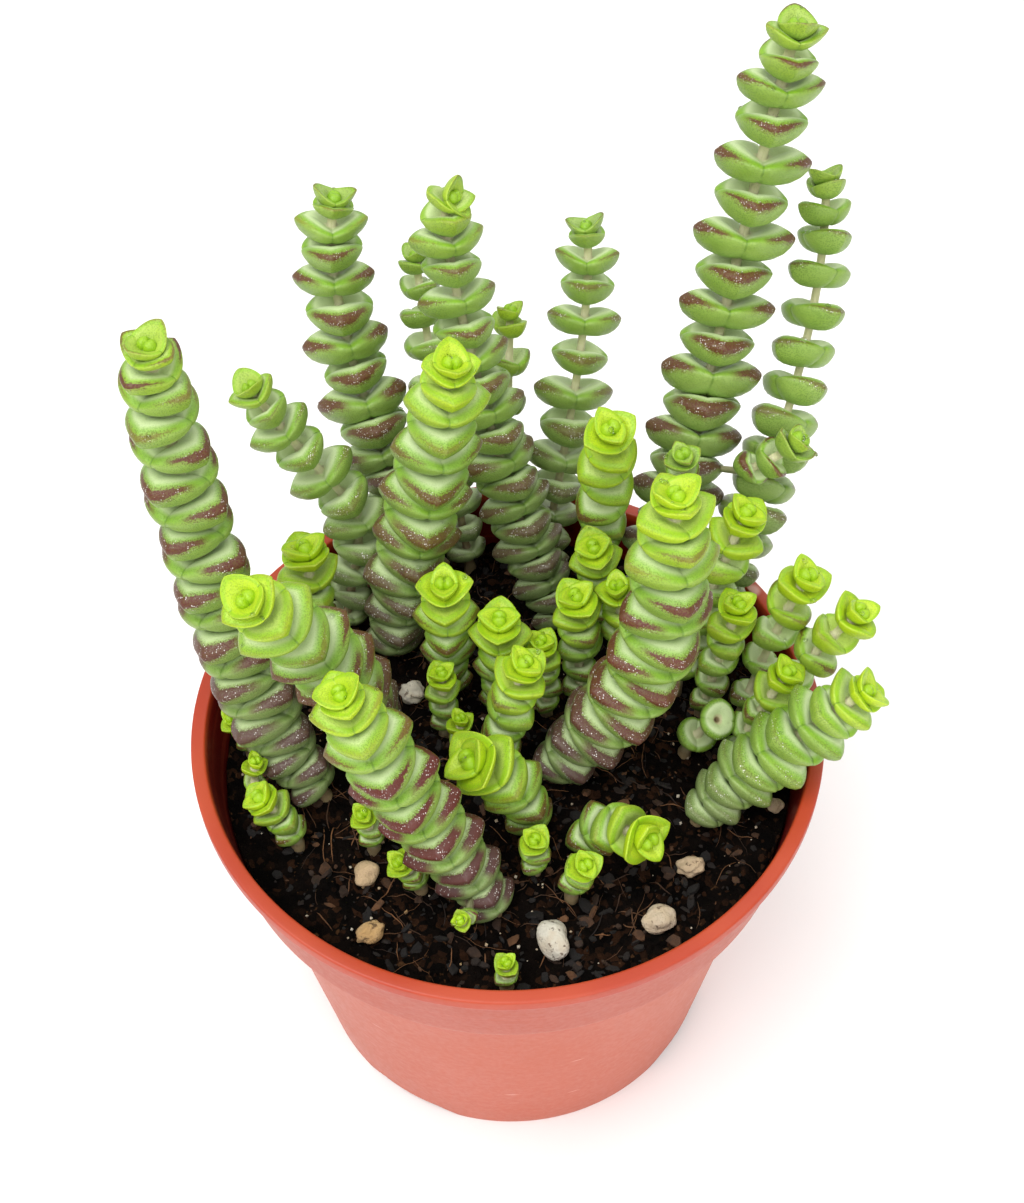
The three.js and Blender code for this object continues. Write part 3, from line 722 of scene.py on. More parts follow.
leafPair = {
    "stemShare": 0.05, "thinnestStem": 0.7, "turnSpread": 0.16, "driftSpread": 0.05,
    # height of a pair on short stems and long ones, and how far it may swell into the gaps below and above
    "fullness": (1.5, 1.2), "fullSpread": (0.94, 1.06), "swell": 1.05, "topRoom": 0.9,
    # the angles of the points round a quarter of the stem, and the span up to which the fewer ones do
    "columnStops": (0, 3, 8, 16, 27, 39, 51, 63, 74, 82, 87),
    "slenderStops": (0, 4, 12, 25, 38, 52, 65, 78, 86), "slenderSpan": 10.6,
    "oldForm": (0.03, 0.77, 1.7, 0),    # cup, seam, point and youth of a full-grown pair
    "cutForm": (0.03, 0.90, 1.2, 0), "cutAge": 0.5,
    "footGap": 0.6, "bareGap": 2, "budGap": 0.2, "closeGap": 0.62, "gapGrowth": 0.45,
    "firstSize": 0.7, "sizeStep": 0.07, "sizeSpread": 0.08,
    # how much smaller the top pair is, and over how many pairs that fades, on short stems and long ones
    "shortStemPairs": 9, "topShrink": (0.15, 0.4), "topReach": (1, 2),
    # the three pairs from the top down: gap, cup, seam and point, then youth on short stems and long ones
    "rosette": [(0.54, 0.32, 0.76, 1.6), (0.62, 0.24, 0.75, 1.7), (0.8, 0.14, 0.76, 1.7)],
    "rosetteYouth": ((0.5, 0.2, 0.0), (0.2, 0.0, 0.0)),
    # the pair nested in the top one: its size there on short stems and long ones, then its form
    "innerShare": (0.74, 0.80), "innerForms": ((0.38, 0.66, 1.3, 0.40), (0.52, 0.80, 1.5, 0.45)),
    "innerRise": 0.02, "innerAge": 0.02,
    # uneven growth: tilt, lobe and wave of a pair
    "tiltSpread": 0.05, "lobeSpread": 0.035, "wave": 0.012,
    # the dip at the seams: width, then depth in the outline and on the upper face, and the fold in the leaf
    "notchWidth": 0.10, "notchDepth": 0.03, "notchSink": 0.022, "foldWidth": 0.10, "foldSink": 0.05,
    "seamLift": 0.25, "cupPower": 1.6, "tipPower": 0.8, "upperFrom": (0.12, -0.1), "stemEdge": 0.02,
    # how far the pairs tip back on stems that lean away from the front, as a slope
    "tipBack": {"stem_tall_right": 0.16, "stem_far_right": 0.16, "stem_tall_middle": 0.12},
    # fine settling of whole stems: turn in degrees, and share of the span
    "settle": {"stem_tall_right": (-12, 1.0), "stem_far_right": (0, 1.12)},
    # stems whose streaks are fainter, or wider and darker, than the rest
    "browning": {"stem_over_rim": 0.4, "stem_far_right": 0.75, "stem_back": 0.8, "stem_low_left": 0.6,
                 "stem_low_back": 0.6, "shoot_cut": 0.15, "stem_front": 1.3, "stem_tall_left": 1.15,
                 "stem_front_right": 1.15, "stem_left": 1.1, "stem_tall_right": 1.1, "stem_back_left": 1.1},
    # stems whose heads are past their yellow-green youth: the age of their youngest leaves
    "headAge": {"stem_tall_right": 0.17, "stem_far_right": 0.2, "stem_back": 0.22, "stem_back_left": 0.19,
                "stem_tall_left": 0.13, "stem_tall_middle": 0.13, "stem_low_left": 0.14,
                "stem_low_back": 0.2, "shoot_back_thin": 0.12},
    "youngestAge": 0.45,    # the age at the foot of a short shoot, where a long stem's is 1
    "rootSteps": (-6, -1, 0.8), "rootRadius": 1.2,    # the root's rings, from the peat's level
    # where a stem was cut off: its face in spans below the pair, its rings (radius, depth) and its bottom
    "cutFace": 0.06, "cutRings": ((0.32, 0), (0.26, 0.8)), "cutBottom": 0.9,
    # the closed bud: radius on short stems and long ones, in spans, then the slit between its lobes
    "budSize": (0.145, 0.10), "budSink": 0.03, "slitWidth": 0.2, "slitDepth": (0.12, 0.35), "slitFrom": -0.5,
    "budWaist": 0.66, "budTall": 0.7, "budLift": 0.55, "budTop": 0.88,
    # from the stem below, round the margin, to the stem above: share of the radius, then the height in
    # spans under the tip line and under the seam, on a full leaf and on a young one
    "profile": [
        (0.00, -0.200, -0.200, -0.160, -0.160), (0.25, -0.203, -0.180, -0.162, -0.145),
        (0.50, -0.196, -0.150, -0.152, -0.120), (0.70, -0.174, -0.120, -0.128, -0.095),
        (0.85, -0.134, -0.088, -0.088, -0.068), (0.945, -0.082, -0.056, -0.046, -0.044),
        (0.99, -0.036, -0.030, -0.012, -0.024), (1.00, -0.006, -0.012, 0.006, -0.012),
        (0.985, 0.014, 0.002, 0.014, -0.004), (0.93, 0.038, 0.012, 0.012, -0.002),
        (0.83, 0.068, 0.022, 0.004, -0.004), (0.70, 0.092, 0.024, -0.008, -0.012),
        (0.55, 0.103, 0.018, -0.022, -0.024), (0.40, 0.092, 0.006, -0.038, -0.040),
        (0.26, 0.066, -0.008, -0.056, -0.058), (0.12, 0.030, -0.020, -0.074, -0.076),
        (0.00, 0.010, -0.026, -0.085, -0.085),
    ],
    "profileTall": 0.29,    # the full profile's height in spans
    # the closed bud from its foot to its top: share of its radius, height in radii
    "budProfile": [(0.70, -1.3), (0.93, -0.8), (1.00, -0.3), (0.95, 0.2), (0.80, 0.6), (0.55, 0.88),
                   (0.25, 0.98)],
}

# name, root (x, y), the curve's low and high points, tip, number of pairs, span of a pair, turn in degrees
longStems = [
    ("tall_right", (23.6, 20.1), (37.2, 47, 115.6), (41.4, 55.8, 149.9), (45.6, 56.4, 176.2), 21, 17, 0),
    ("far_right", (34.5, 23.9), (38.7, 20.4, 87.2), (57.3, 50.4, 115.6), (54.7, 62.2, 143.8), 16, 12.7, 40),
    ("tall_middle", (10.7, 26.4), (2.4, 36.1, 84.3), (-12.4, 53.5, 148.2), (-7, 50.8, 150.5), 19, 14.4, 20),
    ("middle", (-20.6, 22.5), (-19.6, 24.6, 84.5), (-12, 26.9, 107), (-7.4, 23.1, 140.2), 15, 16.5, 10),
    ("tall_left", (-31.7, -8.4), (-44, -3.8, 84.5), (-50.1, 11.7, 123.1), (-49.7, 9.3, 157.8), 20, 15.6, 60),
    ("left", (-23, 5), (-24.1, -3.6, 93.7), (-28.4, -11.9, 115.9), (-36.1, -19.9, 136.6), 13, 16.2, 40),
    ("front", (-2.7, -32.4), (-8, -28.7, 83.3), (-18.6, -27, 100.3), (-23.6, -28.6, 125.6), 14, 15.4, 30),
    ("front_right", (7.3, -4.9), (18.1, -4.6, 90.4), (26.7, -5.8, 91.5), (25.4, -1.9, 136.5), 16, 17, 20),
    ("back_left", (-16.9, 35.4), (-12.6, 39.9, 81.3), (-32.9, 58.2, 114.6), (-27.2, 63.4, 140.5), 16, 16, 0),
    ("back", (6.9, 39.3), (9.1, 44, 84.7), (17.6, 62.2, 116.7), (15.4, 66.3, 131.2), 12, 14.5, 0),
    ("low_left", (-30, 27.5), (-22, 37.6, 102.5), (-25.6, 35, 87.5), (-41.4, 36.5, 123.4), 11, 13.8, 30),
    ("low_back", (-6.5, 42.5), (-8, 44.5, 84), (-13.3, 60.5, 112), (-14.3, 66.2, 125.8), 11, 12.5, 30),
    ("over_rim", (32, -15), (37.3, -13, 78), (45.7, -12, 88.3), (57, -12, 101), 11, 15, 30),
]
shortShoots = [
    ("back_thin", (0.5, 45), (0.8, 48.3, 84.7), (1.3, 53.3, 100.7), (2, 60, 118), 6, 9.4, 30),
    ("back_round", (17.2, 37.6), (17.6, 35.3, 86.7), (17.7, 30.3, 105.3), (17.4, 22.5, 126), 9, 12, 45),
    ("right_upper", (30.5, 13), (33.5, 16, 83.3), (36.7, 17.5, 97), (40, 17.5, 111), 7, 11.4, 45),
    ("right_lower", (34.5, 7.2), (36.2, 8.1, 80), (37.7, 8.7, 89.1), (39, 9.2, 97.4), 6, 10, 30),
    ("rim_back", (41, 5.5), (44, 8.8, 82), (47, 10.3, 93.1), (49.9, 10, 103.3), 5, 12.2, 30),
    ("rim_front", (40.5, -0.1), (46.3, 2.5, 82), (52, 3.3, 93.1), (57.5, 2.2, 103.4), 6, 10.9, 30),
    ("rim_inner", (38.2, -4.2), (40.3, -3.7, 78), (43, -3.3, 86.2), (46.2, -3, 94.5), 5, 10, 40),
    ("cut", (31, -1), (33.3, -1, 76.7), (35.2, -2.3, 81.5), (36.6, -5, 84.6), 2, 11.5, 0),
    ("front_wide", (12, -20), (14, -20, 76.7), (17.3, -22.7, 81.4), (21.9, -28, 84.2), 5, 12.4, 20),
    ("front_low", (10, -29), (10.7, -28.3, 73.3), (11.3, -28.7, 76.7), (12, -30, 80), 3, 9.4, 20),
    ("front_small", (4, -25), (4, -24.3, 74), (4, -24.3, 77.3), (4, -25, 80), 3, 8.8, 50),
    ("front_large", (4, -16), (2.7, -15.3, 79.3), (-0.7, -16, 87), (-6, -18, 93), 6, 13.8, 30),
    ("middle_1", (-10, 13), (-10, 13, 80), (-10, 12.3, 90.7), (-10, 11, 102), 7, 11.6, 0),
    ("middle_2", (-1, 9), (-1, 9, 78), (-1, 8.7, 86.7), (-1, 8, 96), 6, 11.6, 0),
    ("middle_3", (-2, -3), (-1.3, -3, 76.7), (0.3, -2.7, 85.7), (3, -2, 97), 7, 11, 40),
    ("middle_4", (13, 11), (13, 12.3, 79.3), (12.7, 12.7, 88.3), (12, 12, 97), 6, 10.5, 30),
    ("middle_5", (7, 8), (7, 8, 76.7), (6.7, 8, 83.3), (6, 8, 90), 5, 8.8, 60),
    ("middle_6", (16.2, 24.8), (16.7, 25, 82), (16.4, 24.1, 91.3), (15.4, 22, 98), 6, 10.6, 30),
    ("middle_7", (-11, 4), (-11, 4, 75.3), (-11, 4, 81), (-11, 4, 87), 4, 8.8, 30),
    ("middle_8", (-8, -3), (-8, -3, 73.3), (-8, -2.7, 77.3), (-8, -2, 82), 3, 7.7, 30),
    ("middle_9", (21, 13), (21, 13.7, 79.3), (20.3, 14, 88.3), (19, 14, 97), 5, 9.9, 0),
    ("left_upper", (-36, 16), (-34, 18.7, 80.7), (-33.3, 20.7, 90.3), (-34, 22, 99), 6, 12.4, 40),
    ("left_wall", (-45, 1), (-45, 1, 73.3), (-45.7, 0.7, 77), (-47, 0, 81), 3, 7.7, 40),
    ("left_high", (-43, -11), (-43, -11, 75.3), (-42.7, -10.8, 79.7), (-42, -10.5, 83), 3, 7, 40),
    ("left_low", (-36, -18), (-37.3, -17.3, 74.7), (-39, -17, 78.7), (-41, -17, 82), 4, 9.9, 40),
    ("front_left_1", (-23, -19), (-23, -19, 74), (-23.3, -19.3, 77.7), (-24, -20, 81), 3, 8.2, 40),
    ("front_left_2", (-15, -27), (-15.7, -27, 73.3), (-16.7, -27.3, 76.3), (-18, -28, 79), 3, 8.2, 40),
    ("front_wall", (-1, -45), (-1, -45, 72), (-1, -45, 74), (-1, -45, 76), 2, 7.7, 40),
]

# for each stem that branches: start, low, high, tip, pairs, span, turn
sideShoots = {
    "stem_tall_right": [
        ((33, 37, 102.2), (37.5, 32.5, 103.5), (43.5, 30.5, 106.5), (49.6, 30.2, 114.5), 3, 12.5, 10),
        ((32.4, 35.5, 100), (31.6, 32, 101.5), (30.5, 28, 108), (29.7, 25.2, 117), 3, 10, 45),
    ],
    "stem_front": [((-6, -32, 77), (-6.7, -36.7, 77), (-7.3, -39.3, 78.3), (-8, -40, 81), 2, 6, 20)],
}
cutShoot = "shoot_cut"


def seededDraws(seed, count):
    # the frame's own rule: state = (1664525 state + 1013904223) mod 2^32
    draws = []
    for _ in range(count):
        seed = (seed * 1664525 + 1013904223) % 4294967296
        draws.append(seed / 4294967296)
    return draws


def pairPlan(pairs, lowest, draws):
    # for every pair: its place along the stem, the gap below it, its size, and cup, seam, point and youth
    look = leafPair
    gaps = [lowest] + [look["closeGap"] + look["gapGrowth"] * i / (pairs - 1) for i in range(1, pairs)]
    longStem = int(pairs > look["shortStemPairs"])
    shrink, reach = look["topShrink"][longStem], look["topReach"][longStem]
    sizes = [min(1, look["firstSize"] + look["sizeStep"] * i) for i in range(pairs)]
    sizes = [size * (1 - shrink * math.exp((i + 1 - pairs) / reach)) for i, size in enumerate(sizes)]
    sizes = [size * (1 + look["sizeSpread"] * (draw - 0.5)) for size, draw in zip(sizes, draws)]
    forms = [look["oldForm"]] * pairs
    for fromTop in range(min(len(look["rosette"]), pairs)):
        closeness, *form = look["rosette"][fromTop]
        gaps[pairs - 1 - fromTop] *= closeness
        forms[pairs - 1 - fromTop] = (*form, look["rosetteYouth"][longStem][fromTop])
    gaps = np.array(gaps + [look["budGap"]])
    return np.cumsum(gaps)[:-1] / gaps.sum(), gaps / gaps.sum(), sizes, forms


def centreLine(foot, low, high, tip, shares, samples=401):
    # the cubic curve at equal shares of its length: middle, along, side and front, then the length
    foot, low, high, tip = (np.asarray(p, float) for p in (foot, low, high, tip))

    def curveAt(t):
        return (1 - t) ** 3 * foot + 3 * t * (1 - t) ** 2 * low + 3 * t ** 2 * (1 - t) * high + t ** 3 * tip

    t = np.linspace(0, 1, samples)[:, None]
    reached = np.append(0, np.cumsum(np.linalg.norm(np.diff(curveAt(t), axis=0), axis=1)))
    at = np.interp(np.asarray(shares) * reached[-1], reached, t[:, 0])[:, None]
    along = (1 - at) ** 2 * (low - foot) + 2 * at * (1 - at) * (high - low) + at ** 2 * (tip - high)
    along /= np.linalg.norm(along, axis=1, keepdims=True)
    side = np.array([1.0, 0, 0]) - along[:, :1] * along
    side /= np.linalg.norm(side, axis=1, keepdims=True)
    return curveAt(at), along, side, np.cross(along, side), reached[-1]


def columnsOf(table):
    return [np.array(column)[:, None] for column in zip(*table)]


def profileAcross(share, height):
    # the way round the profile from the leaf's edge: below zero under it, above zero over it
    reached = np.append(0, np.cumsum(np.hypot(np.diff(share[:, 0]), 2 * np.diff(height[:, 0]))))
    return (reached - reached[np.argmax(share)])[:, None]


class StemSkin:
    # A stem's rings of points from its foot to its top, laid square to its centre line, and the values
    # that the leaf material reads at each point.
    marks = ("leafAcross", "leafTipward", "leafAge", "leafDraw", "leafStem", "leafYouth", "leafBrown")
    share, *heights = columnsOf(leafPair["profile"])
    across = profileAcross(share, heights[0])

    def __init__(self, name, pairs, span, turn, seed):
        look = leafPair
        stops = look["columnStops"] if span > look["slenderSpan"] else look["slenderStops"]
        self.around = (np.arange(4)[:, None] * np.pi / 2 + np.radians(stops)).ravel()
        moreTurn, moreSpan = look["settle"].get(name, (0, 1.0))
        self.base = math.radians(turn + moreTurn)
        self.span = span * moreSpan
        self.radius = max(look["thinnestStem"], self.span * look["stemShare"])
        self.longStem = int(pairs > look["shortStemPairs"])
        self.tipBack = look["tipBack"].get(name, 0)
        self.brown = look["browning"].get(name, 1.0)
        self.headAge = look["headAge"].get(name, 0)
        self.rng = np.random.default_rng(seed)
        self.blocks = []
        self.values = {mark: [] for mark in self.marks}

    def addRows(self, points, across, tipward, age, *others):
        self.blocks.append(points)
        age = self.headAge + (1 - self.headAge) * age
        for column, value in zip(self.values.values(), (across, tipward, age, *others, self.brown)):
            column.append(np.broadcast_to(value, points.shape[:2]).ravel())

    def circle(self, x, y, extra=0.0):
        angle = self.around + self.base + extra
        return np.cos(angle)[:, None] * x + np.sin(angle)[:, None] * y

    def addBare(self, middle, x, y, radius, age, across=-1):
        # one plain ring of stem
        self.addRows((middle + radius * self.circle(x, y))[None], across, 0, age, 0, 1, 0)

    def addPair(self, place, half, form, odd, age, room, drift, rise=0.0):
        # Round a pair, |cos a| is 1 at the leaf tips and 0 at the seams. Its radius is
        # seam + (1 - seam)(1 - |sin a|)^point. Its height runs from the seam's profile to the tip's with
        # |cos a|, plus the cup's lift, which grows with the radius. room is how far it may reach down and up.
        look, rng = leafPair, self.rng
        middle, along, side, front = place
        cup, seam, point, youth = form
        fitting = look["swell"] * sum(room) / (look["profileTall"] * 2 * half)
        full = min(look["fullness"][self.longStem], fitting) * rng.uniform(*look["fullSpread"])
        angle = self.around + odd * np.pi / 2
        tipward = np.abs(np.cos(angle))
        lobe = look["lobeSpread"] * np.sign(np.cos(angle)) * rng.uniform(-1, 1) * tipward ** 0.5
        notch = np.exp(-(np.cos(angle) / look["notchWidth"]) ** 2)
        outline = seam + (1 - seam) * (1 - np.abs(np.sin(angle))) ** point
        outline = outline * (1 + lobe + look["wave"] * np.sin(3 * angle + rng.uniform(0, 6)))
        radius = self.radius + (half * (outline - look["notchDepth"] * notch) - self.radius) * self.share
        tipOld, seamOld, tipYoung, seamYoung = self.heights
        tipHeight = tipOld + (tipYoung - tipOld) * youth
        seamHeight = seamOld + (seamYoung - seamOld) * youth
        height = seamHeight + (tipHeight - seamHeight) * tipward ** look["tipPower"]
        height = 2 * half * full * height
        fromShare, fromAcross = look["upperFrom"]
        upper = np.clip(self.share - fromShare, 0, 1) * (self.across > fromAcross)
        fold = np.exp(-(np.sin(angle) / look["foldWidth"]) ** 2) * (0.3 + 0.7 * youth)
        fold = fold * np.clip(1 - self.share, 0, 1)
        height = height - 2 * half * upper * (look["notchSink"] * notch + look["foldSink"] * fold)
        lift = cup * half * (look["seamLift"] + (1 - look["seamLift"]) * tipward ** 2)
        tilt = look["tiltSpread"] * rng.uniform(-1, 1, 2)
        lift = lift + half * (tilt[0] * np.cos(angle) + tilt[1] * np.sin(angle))
        lift = lift - self.tipBack * half * np.sin(self.around + self.base)
        height = height + lift * self.share ** look["cupPower"] + rise
        height[0] = max(height[0, 0], -room[0])
        height[-1] = min(height[-1, 0], look["topRoom"] * room[1])
        outward = self.circle(side, front, drift + look["driftSpread"] * rng.uniform(-1, 1))
        points = middle + radius[..., None] * outward + height[..., None] * along
        stem = 1.0 * (self.share < look["stemEdge"])
        self.addRows(points, self.across, tipward, age, rng.uniform(0, 1), stem, youth)

    def addRoot(self, root):
        x, y, _ = np.eye(3)
        for step in leafPair["rootSteps"]:
            self.addBare(np.array([*root, peat["level"] + step]), x, y, leafPair["rootRadius"], 1)

    def addHole(self, place):
        # the dry hole where the stem was cut off
        middle, along, side, front = place
        face = middle - leafPair["cutFace"] * self.span * along
        for radius, depth in leafPair["cutRings"]:
            self.addBare(face - depth * along, side, front, radius, 1, across=1)
        return face - leafPair["cutBottom"] * along

    def addBud(self, place, odd, drift):
        # two lobes with a slit between them, its radius pinched and its top lowered along the slit
        look = leafPair
        middle, along, side, front = place
        share, rise = columnsOf(look["budProfile"])
        angle = self.around + odd * np.pi / 2
        size = look["budSize"][self.longStem] * self.span
        slit = np.exp(-(share * np.cos(angle) / look["slitWidth"]) ** 2) * (rise > look["slitFrom"])
        pinch, sink = look["slitDepth"]
        waist = look["budWaist"] + (1 - look["budWaist"]) * np.abs(np.cos(angle))
        radius = size * waist * share * (1 - pinch * slit)
        foot = middle - look["budSink"] * self.span * along
        height = size * (look["budTall"] * rise + look["budLift"] - sink * slit)
        points = foot + radius[..., None] * self.circle(side, front, drift) + height[..., None] * along
        self.addRows(points, 0.2, 0.3, 0, 0.5, 0, 1)
        return foot + look["budTop"] * size * along

    def close(self, top):
        # the poles take the values of the first and last points
        grid = np.concatenate(self.blocks)
        points = np.vstack([grid.reshape(-1, 3), grid[0].mean(0), top])
        columns = {mark: np.concatenate(column) for mark, column in self.values.items()}
        values = {mark: np.append(column, [column[0], column[-1]]) for mark, column in columns.items()}
        return points, *skinFaces(len(grid), len(self.around)), values


def leafySkin(name, foot, low, high, tip, pairs, span, turn, root=None):
    # a root peg or a bare start, the pairs a quarter turn apart, then a nested pair and the bud on top
    look = leafPair
    draws = seededDraws(math.floor(1000 + span * 100 + turn * 7 + tip[2] + 0.5), 2 * pairs)
    shares, gaps, sizes, forms = pairPlan(pairs, look["footGap"] if root else look["bareGap"], draws)
    *line, length = centreLine(foot, low, high, tip, [0.0, *shares, 1.0])
    start, *places = zip(*line)
    skin = StemSkin(name, pairs, span, turn, int(span * 10 + turn + pairs * 31 + abs(tip[0]) * 7))
    if root:
        skin.addRoot(root)
    else:
        middle, along, side, front = start
        skin.addBare(middle, side, front, 0.6 * skin.radius, 0.6)
    cut = name == cutShoot
    if cut:
        forms = [look["cutForm"]] * pairs
    drift = 0.0
    for i in range(pairs):
        drift += look["turnSpread"] * (draws[pairs + i] - 0.5)
        footAge = 1 if skin.longStem else look["youngestAge"]
        age = look["cutAge"] if cut else footAge * (1 - (i + 0.5) / pairs)
        room = (0.5 * gaps[i] * length, 0.5 * gaps[i + 1] * length)
        skin.addPair(places[i], skin.span / 2 * sizes[i], forms[i], i % 2, age, room, drift)
    if cut:
        return skin.close(skin.addHole(places[-2]))
    inner = look["innerShare"][skin.longStem] * skin.span / 2 * sizes[-1]
    form = look["innerForms"][skin.longStem]
    room = (0.4 * gaps[-1] * length, skin.span)
    rise = look["innerRise"] * skin.span
    skin.addPair(places[-1], inner, form, pairs % 2, look["innerAge"], room, drift, rise)
    return skin.close(skin.addBud(places[-1], (pairs + 1) % 2, drift))


leafColors = {
    "fresh": (tone(160, 194, 10), tone(196, 220, 38)),
    "middle": (tone(112, 146, 46), tone(156, 184, 88)),
    "old": (tone(112, 132, 70), tone(150, 166, 112)),
    # shoulderGlow is a painted glow of light through the leaf's shoulder
    "bloom": tone(214, 230, 178), "underside": tone(132, 168, 78), "shoulderGlow": tone(128, 182, 20),
    "grain": tone(84, 120, 34), "streak": tone(92, 38, 28), "oldStreak": tone(84, 56, 52),
    # speckAndGlint: white specks, partly painted glints of light
    "freshStreak": tone(140, 142, 34), "speckAndGlint": tone(246, 242, 236), "edge": tone(216, 232, 136),
    "stem": tone(204, 200, 158), "oldStem": tone(140, 122, 90),
}

# how many to the metre
leafScales = {
    "patch": 170, "papillae": 3800.0, "specksAndGlints": 3200.0, "speckAndGlintClusters": 700,
    "raggedness": 1600, "wander": 260, "dents": 420,
}


def leafMaterial(colors, scales):
    material, inputs = newMaterial("crassulaLeaf")
    point = pointOf(material)
    marks = [attributeOf(material, mark) for mark in StemSkin.marks]
    across, tipward, age, draw, stem, young, brownShare = marks

    # yellow-green at the top of a stem, mid green below, dull grey-green at its foot
    patch = point.noise(scales["patch"], 3.0, 0.55)
    youth = age.step(0.30, 0.02)
    color = age.step(0.45, 0.9).blend(patch.blend(*colors["middle"]), patch.blend(*colors["old"]))
    color = youth.blend(color, patch.blend(*colors["fresh"]))

    # smooth pale bloom on the upper face from the crest to the stem, and a lighter underside
    bloom = across.step(0.16, 0.46) * youth.step(0.0, 1.0, 0.85, 0.15) * young.step(0.0, 0.5, 1.0, 0.15)
    color = bloom.blend(color, colors["bloom"])
    color = (across.step(-0.22, -0.6) * 0.45).blend(color, colors["underside"])

    # painted glow: a more saturated green along the shoulder stands in for light shining through the leaf,
    # fading towards the leaf's tip
    shoulder = across.step(0.02, 0.12) * across.step(0.42, 0.24) * age.step(0.9, 0.3, 0.1, 0.55)
    color = shoulder.blend(color, colors["shoulderGlow"])

    # papillae: fine dark grains, densest near the tip of the leaf and missing from the bloom
    distance, _ = point.cells(scales["papillae"])
    grains = distance.step(0.6, 0.2)
    bare = bloom.math("SUBTRACT", 1.0, bloom, True)
    dense = tipward.step(0.4, 1.0, 0.25, 0.6) * youth.step(0.0, 1.0, 1.0, 0.5)
    color = (grains * bare * dense).blend(color, colors["grain"])

    # the streak above the margin: a soft V round the leaf's tip that thins out before the seam,
    # breaking up into grains at its edges
    atTip = tipward.step(0.80, 1.0)
    ragged = (point.noise(scales["raggedness"], 4.0, 0.7) - 0.5) * 0.14
    wander = (point.noise(scales["wander"], 2.0, 0.5) - 0.5) * 0.5
    width = (age.step(0.1, 0.75, 0.015, 0.115) + atTip * 0.05 + (draw - 0.5) * 0.03) * brownShare
    spread = abs(across - (0.13 - atTip * 0.05) + ragged) - width
    halo = spread.step(0.11, -0.01) * (grains * 0.5 + 0.35)
    streak = halo.math("MAXIMUM", spread.step(0.02, -0.03), halo) * (grains * 0.15 + 0.85)
    streak = streak * (tipward + wander).step(0.30, 0.78) * brownShare
    chance = age + (draw - 0.5) * 0.2
    brown = age.step(0.5, 0.9).blend(colors["streak"], colors["oldStreak"])
    brown = chance.step(0.26, 0.12).blend(brown, colors["freshStreak"])
    color = (streak * chance.step(0.0, 0.3, 0.15, 0.94)).blend(color, brown)

    # the thin seam where the two leaves meet, and the pale edge of the young ones
    seam = tipward.step(0.045, 0.015) * across.step(-0.45, -0.2) * across.step(0.42, 0.2)
    color = (seam * 0.5).blend(color, colors["grain"])
    color = (abs(across).step(0.05, 0.015) * young * 0.3).blend(color, colors["edge"])

    # white specks on the old streaks, in clusters, partly the leaf's own specks and partly painted glints of
    # light where they sparkle
    distance, kept = point.cells(scales["specksAndGlints"])
    cluster = point.noise(scales["speckAndGlintClusters"], 3.0, 0.6).step(0.44, 0.60)
    speckAndGlint = distance.step(0.42, 0.2) * kept.step(0.5, 0.6) * spread.step(0.12, 0.0)
    speckAndGlint = speckAndGlint * tipward.step(0.5, 0.9) * cluster * age.step(0.12, 0.5)
    color = (speckAndGlint * 0.85).blend(color, colors["speckAndGlint"])

    # bare stem between the pairs, brownish low down
    color = stem.blend(color, age.step(0.55, 0.95).blend(colors["stem"], colors["oldStem"]))
    dents = point.noise(scales["dents"], 2.0, 0.5)
    relief = dents.bump(0.22, 0.0004, Normal=(grains * bare).bump(0.35, 0.00012))
    setSurface(inputs, color, bloom * 0.12 + 0.38 - speckAndGlint * 0.2, relief)
    inputs["Specular IOR Level"].default_value = 0.42
    return material


def makeStems():
    material = leafMaterial(leafColors, leafScales)
    rows = [("stem_" + name, *row) for name, *row in longStems]
    rows += [("shoot_" + name, *row) for name, *row in shortShoots]
    pieces = []
    for name, root, low, high, tip, pairs, span, turn in rows:
        foot = (*root, peat["level"] + 1)
        skins = [leafySkin(name, foot, low, high, tip, pairs, span, turn, root)]
        skins += [leafySkin(name, *shoot) for shoot in sideShoots.get(name, [])]
        points, quads, tris, values = zip(*skins)
        shifts = np.cumsum([0] + [len(block) for block in points])
        quads = np.vstack([block + shift for block, shift in zip(quads, shifts)])
        tris = np.vstack([block + shift for block, shift in zip(tris, shifts)])
        piece = meshObject("leafy_" + name, np.vstack(points), quads, tris)
        addValues(piece, {mark: np.concatenate([skin[mark] for skin in values]) for mark in StemSkin.marks})
        piece.data.materials.append(material)
        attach(piece, "root")
        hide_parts(name)
        pieces.append(piece)
    return pieces


leafyPieces = makeStems()
print("leafy stems ready")


# Water drops

drops = {
    "count": 520, "size": (0.25, 1.3), "smallPower": 2.5, "flatness": 0.5, "sink": 0.25,
    "rings": (-0.25, 0.15, 0.55), "columns": 9, "seed": 5,
    "across": (0.1, 0.7), "upward": 0.25,    # they lie on the upper faces alone
}


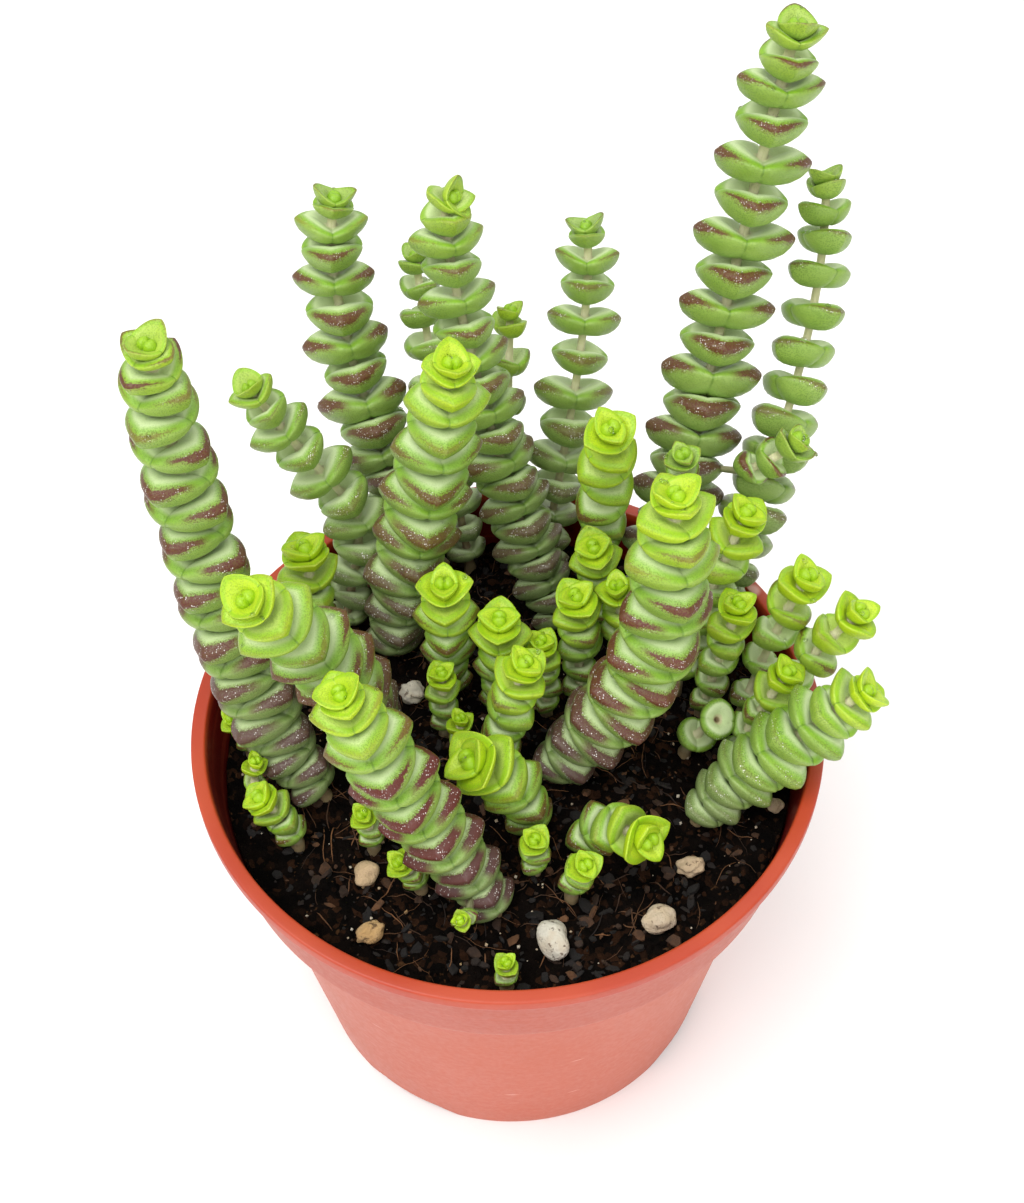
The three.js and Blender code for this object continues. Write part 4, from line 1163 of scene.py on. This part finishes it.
def dropMaterial():
    material, inputs = newMaterial("clearWater")
    water = {"Base Color": (1, 1, 1, 1), "Roughness": 0.03, "IOR": 1.33, "Transmission Weight": 1.0}
    for name, value in water.items():
        inputs[name].default_value = value
    return material


def readPoints(values, name, width):
    flat = np.empty(len(values) * width, np.float32)
    values.foreach_get(name, flat)
    return flat.reshape(-1, width)


def leafSeats(piece, size):
    # the points of a leafy piece where a drop can lie, and the normals there
    mesh = piece.data
    places = readPoints(mesh.vertices, "co", 3) / mm
    normals = readPoints(mesh.vertex_normals, "vector", 3)
    across = readPoints(mesh.attributes["leafAcross"].data, "value", 1)[:, 0]
    low, high = size["across"]
    seat = (across > low) & (across < high) & (normals[:, 2] > size["upward"])
    return places[seat], normals[seat]


def makeDrops(size):
    # domes on the leaves: rings of radius r cos u at height flatness r sin u along the leaf's normal
    rng = np.random.default_rng(size["seed"])
    seats = zip(*(leafSeats(piece, size) for piece in leafyPieces))
    places, normals = (np.concatenate(part) for part in seats)
    pick = rng.choice(len(places), size["count"], replace=False)
    places, normals = places[pick][:, None], normals[pick][:, None]
    smallest, largest = size["size"]
    draw = rng.uniform(0, 1, len(pick)) ** size["smallPower"]
    radius = 0.5 * (smallest + (largest - smallest) * draw)[:, None, None]
    side = np.cross(normals, [0.31, 0.83, 0.46])
    side /= np.linalg.norm(side, axis=-1, keepdims=True)
    front = np.cross(normals, side)
    u, around = np.meshgrid(np.array(size["rings"]) * np.pi / 2,
                            np.arange(size["columns"]) / size["columns"] * 2 * np.pi, indexing="ij")
    u, around = u.reshape(-1, 1), around.reshape(-1, 1)
    circle = np.cos(around) * side + np.sin(around) * front
    rings = places + radius * (np.cos(u) * circle + size["flatness"] * np.sin(u) * normals)
    foot = places - size["sink"] * radius * normals
    crown = places + size["flatness"] * radius * normals
    points = np.concatenate([rings, foot, crown], 1)
    piece = manySkins("water_drops", points, len(size["rings"]), size["columns"])
    piece.data.materials.append(dropMaterial())
    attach(piece, "root")


makeDrops(drops)
print("water drops ready")
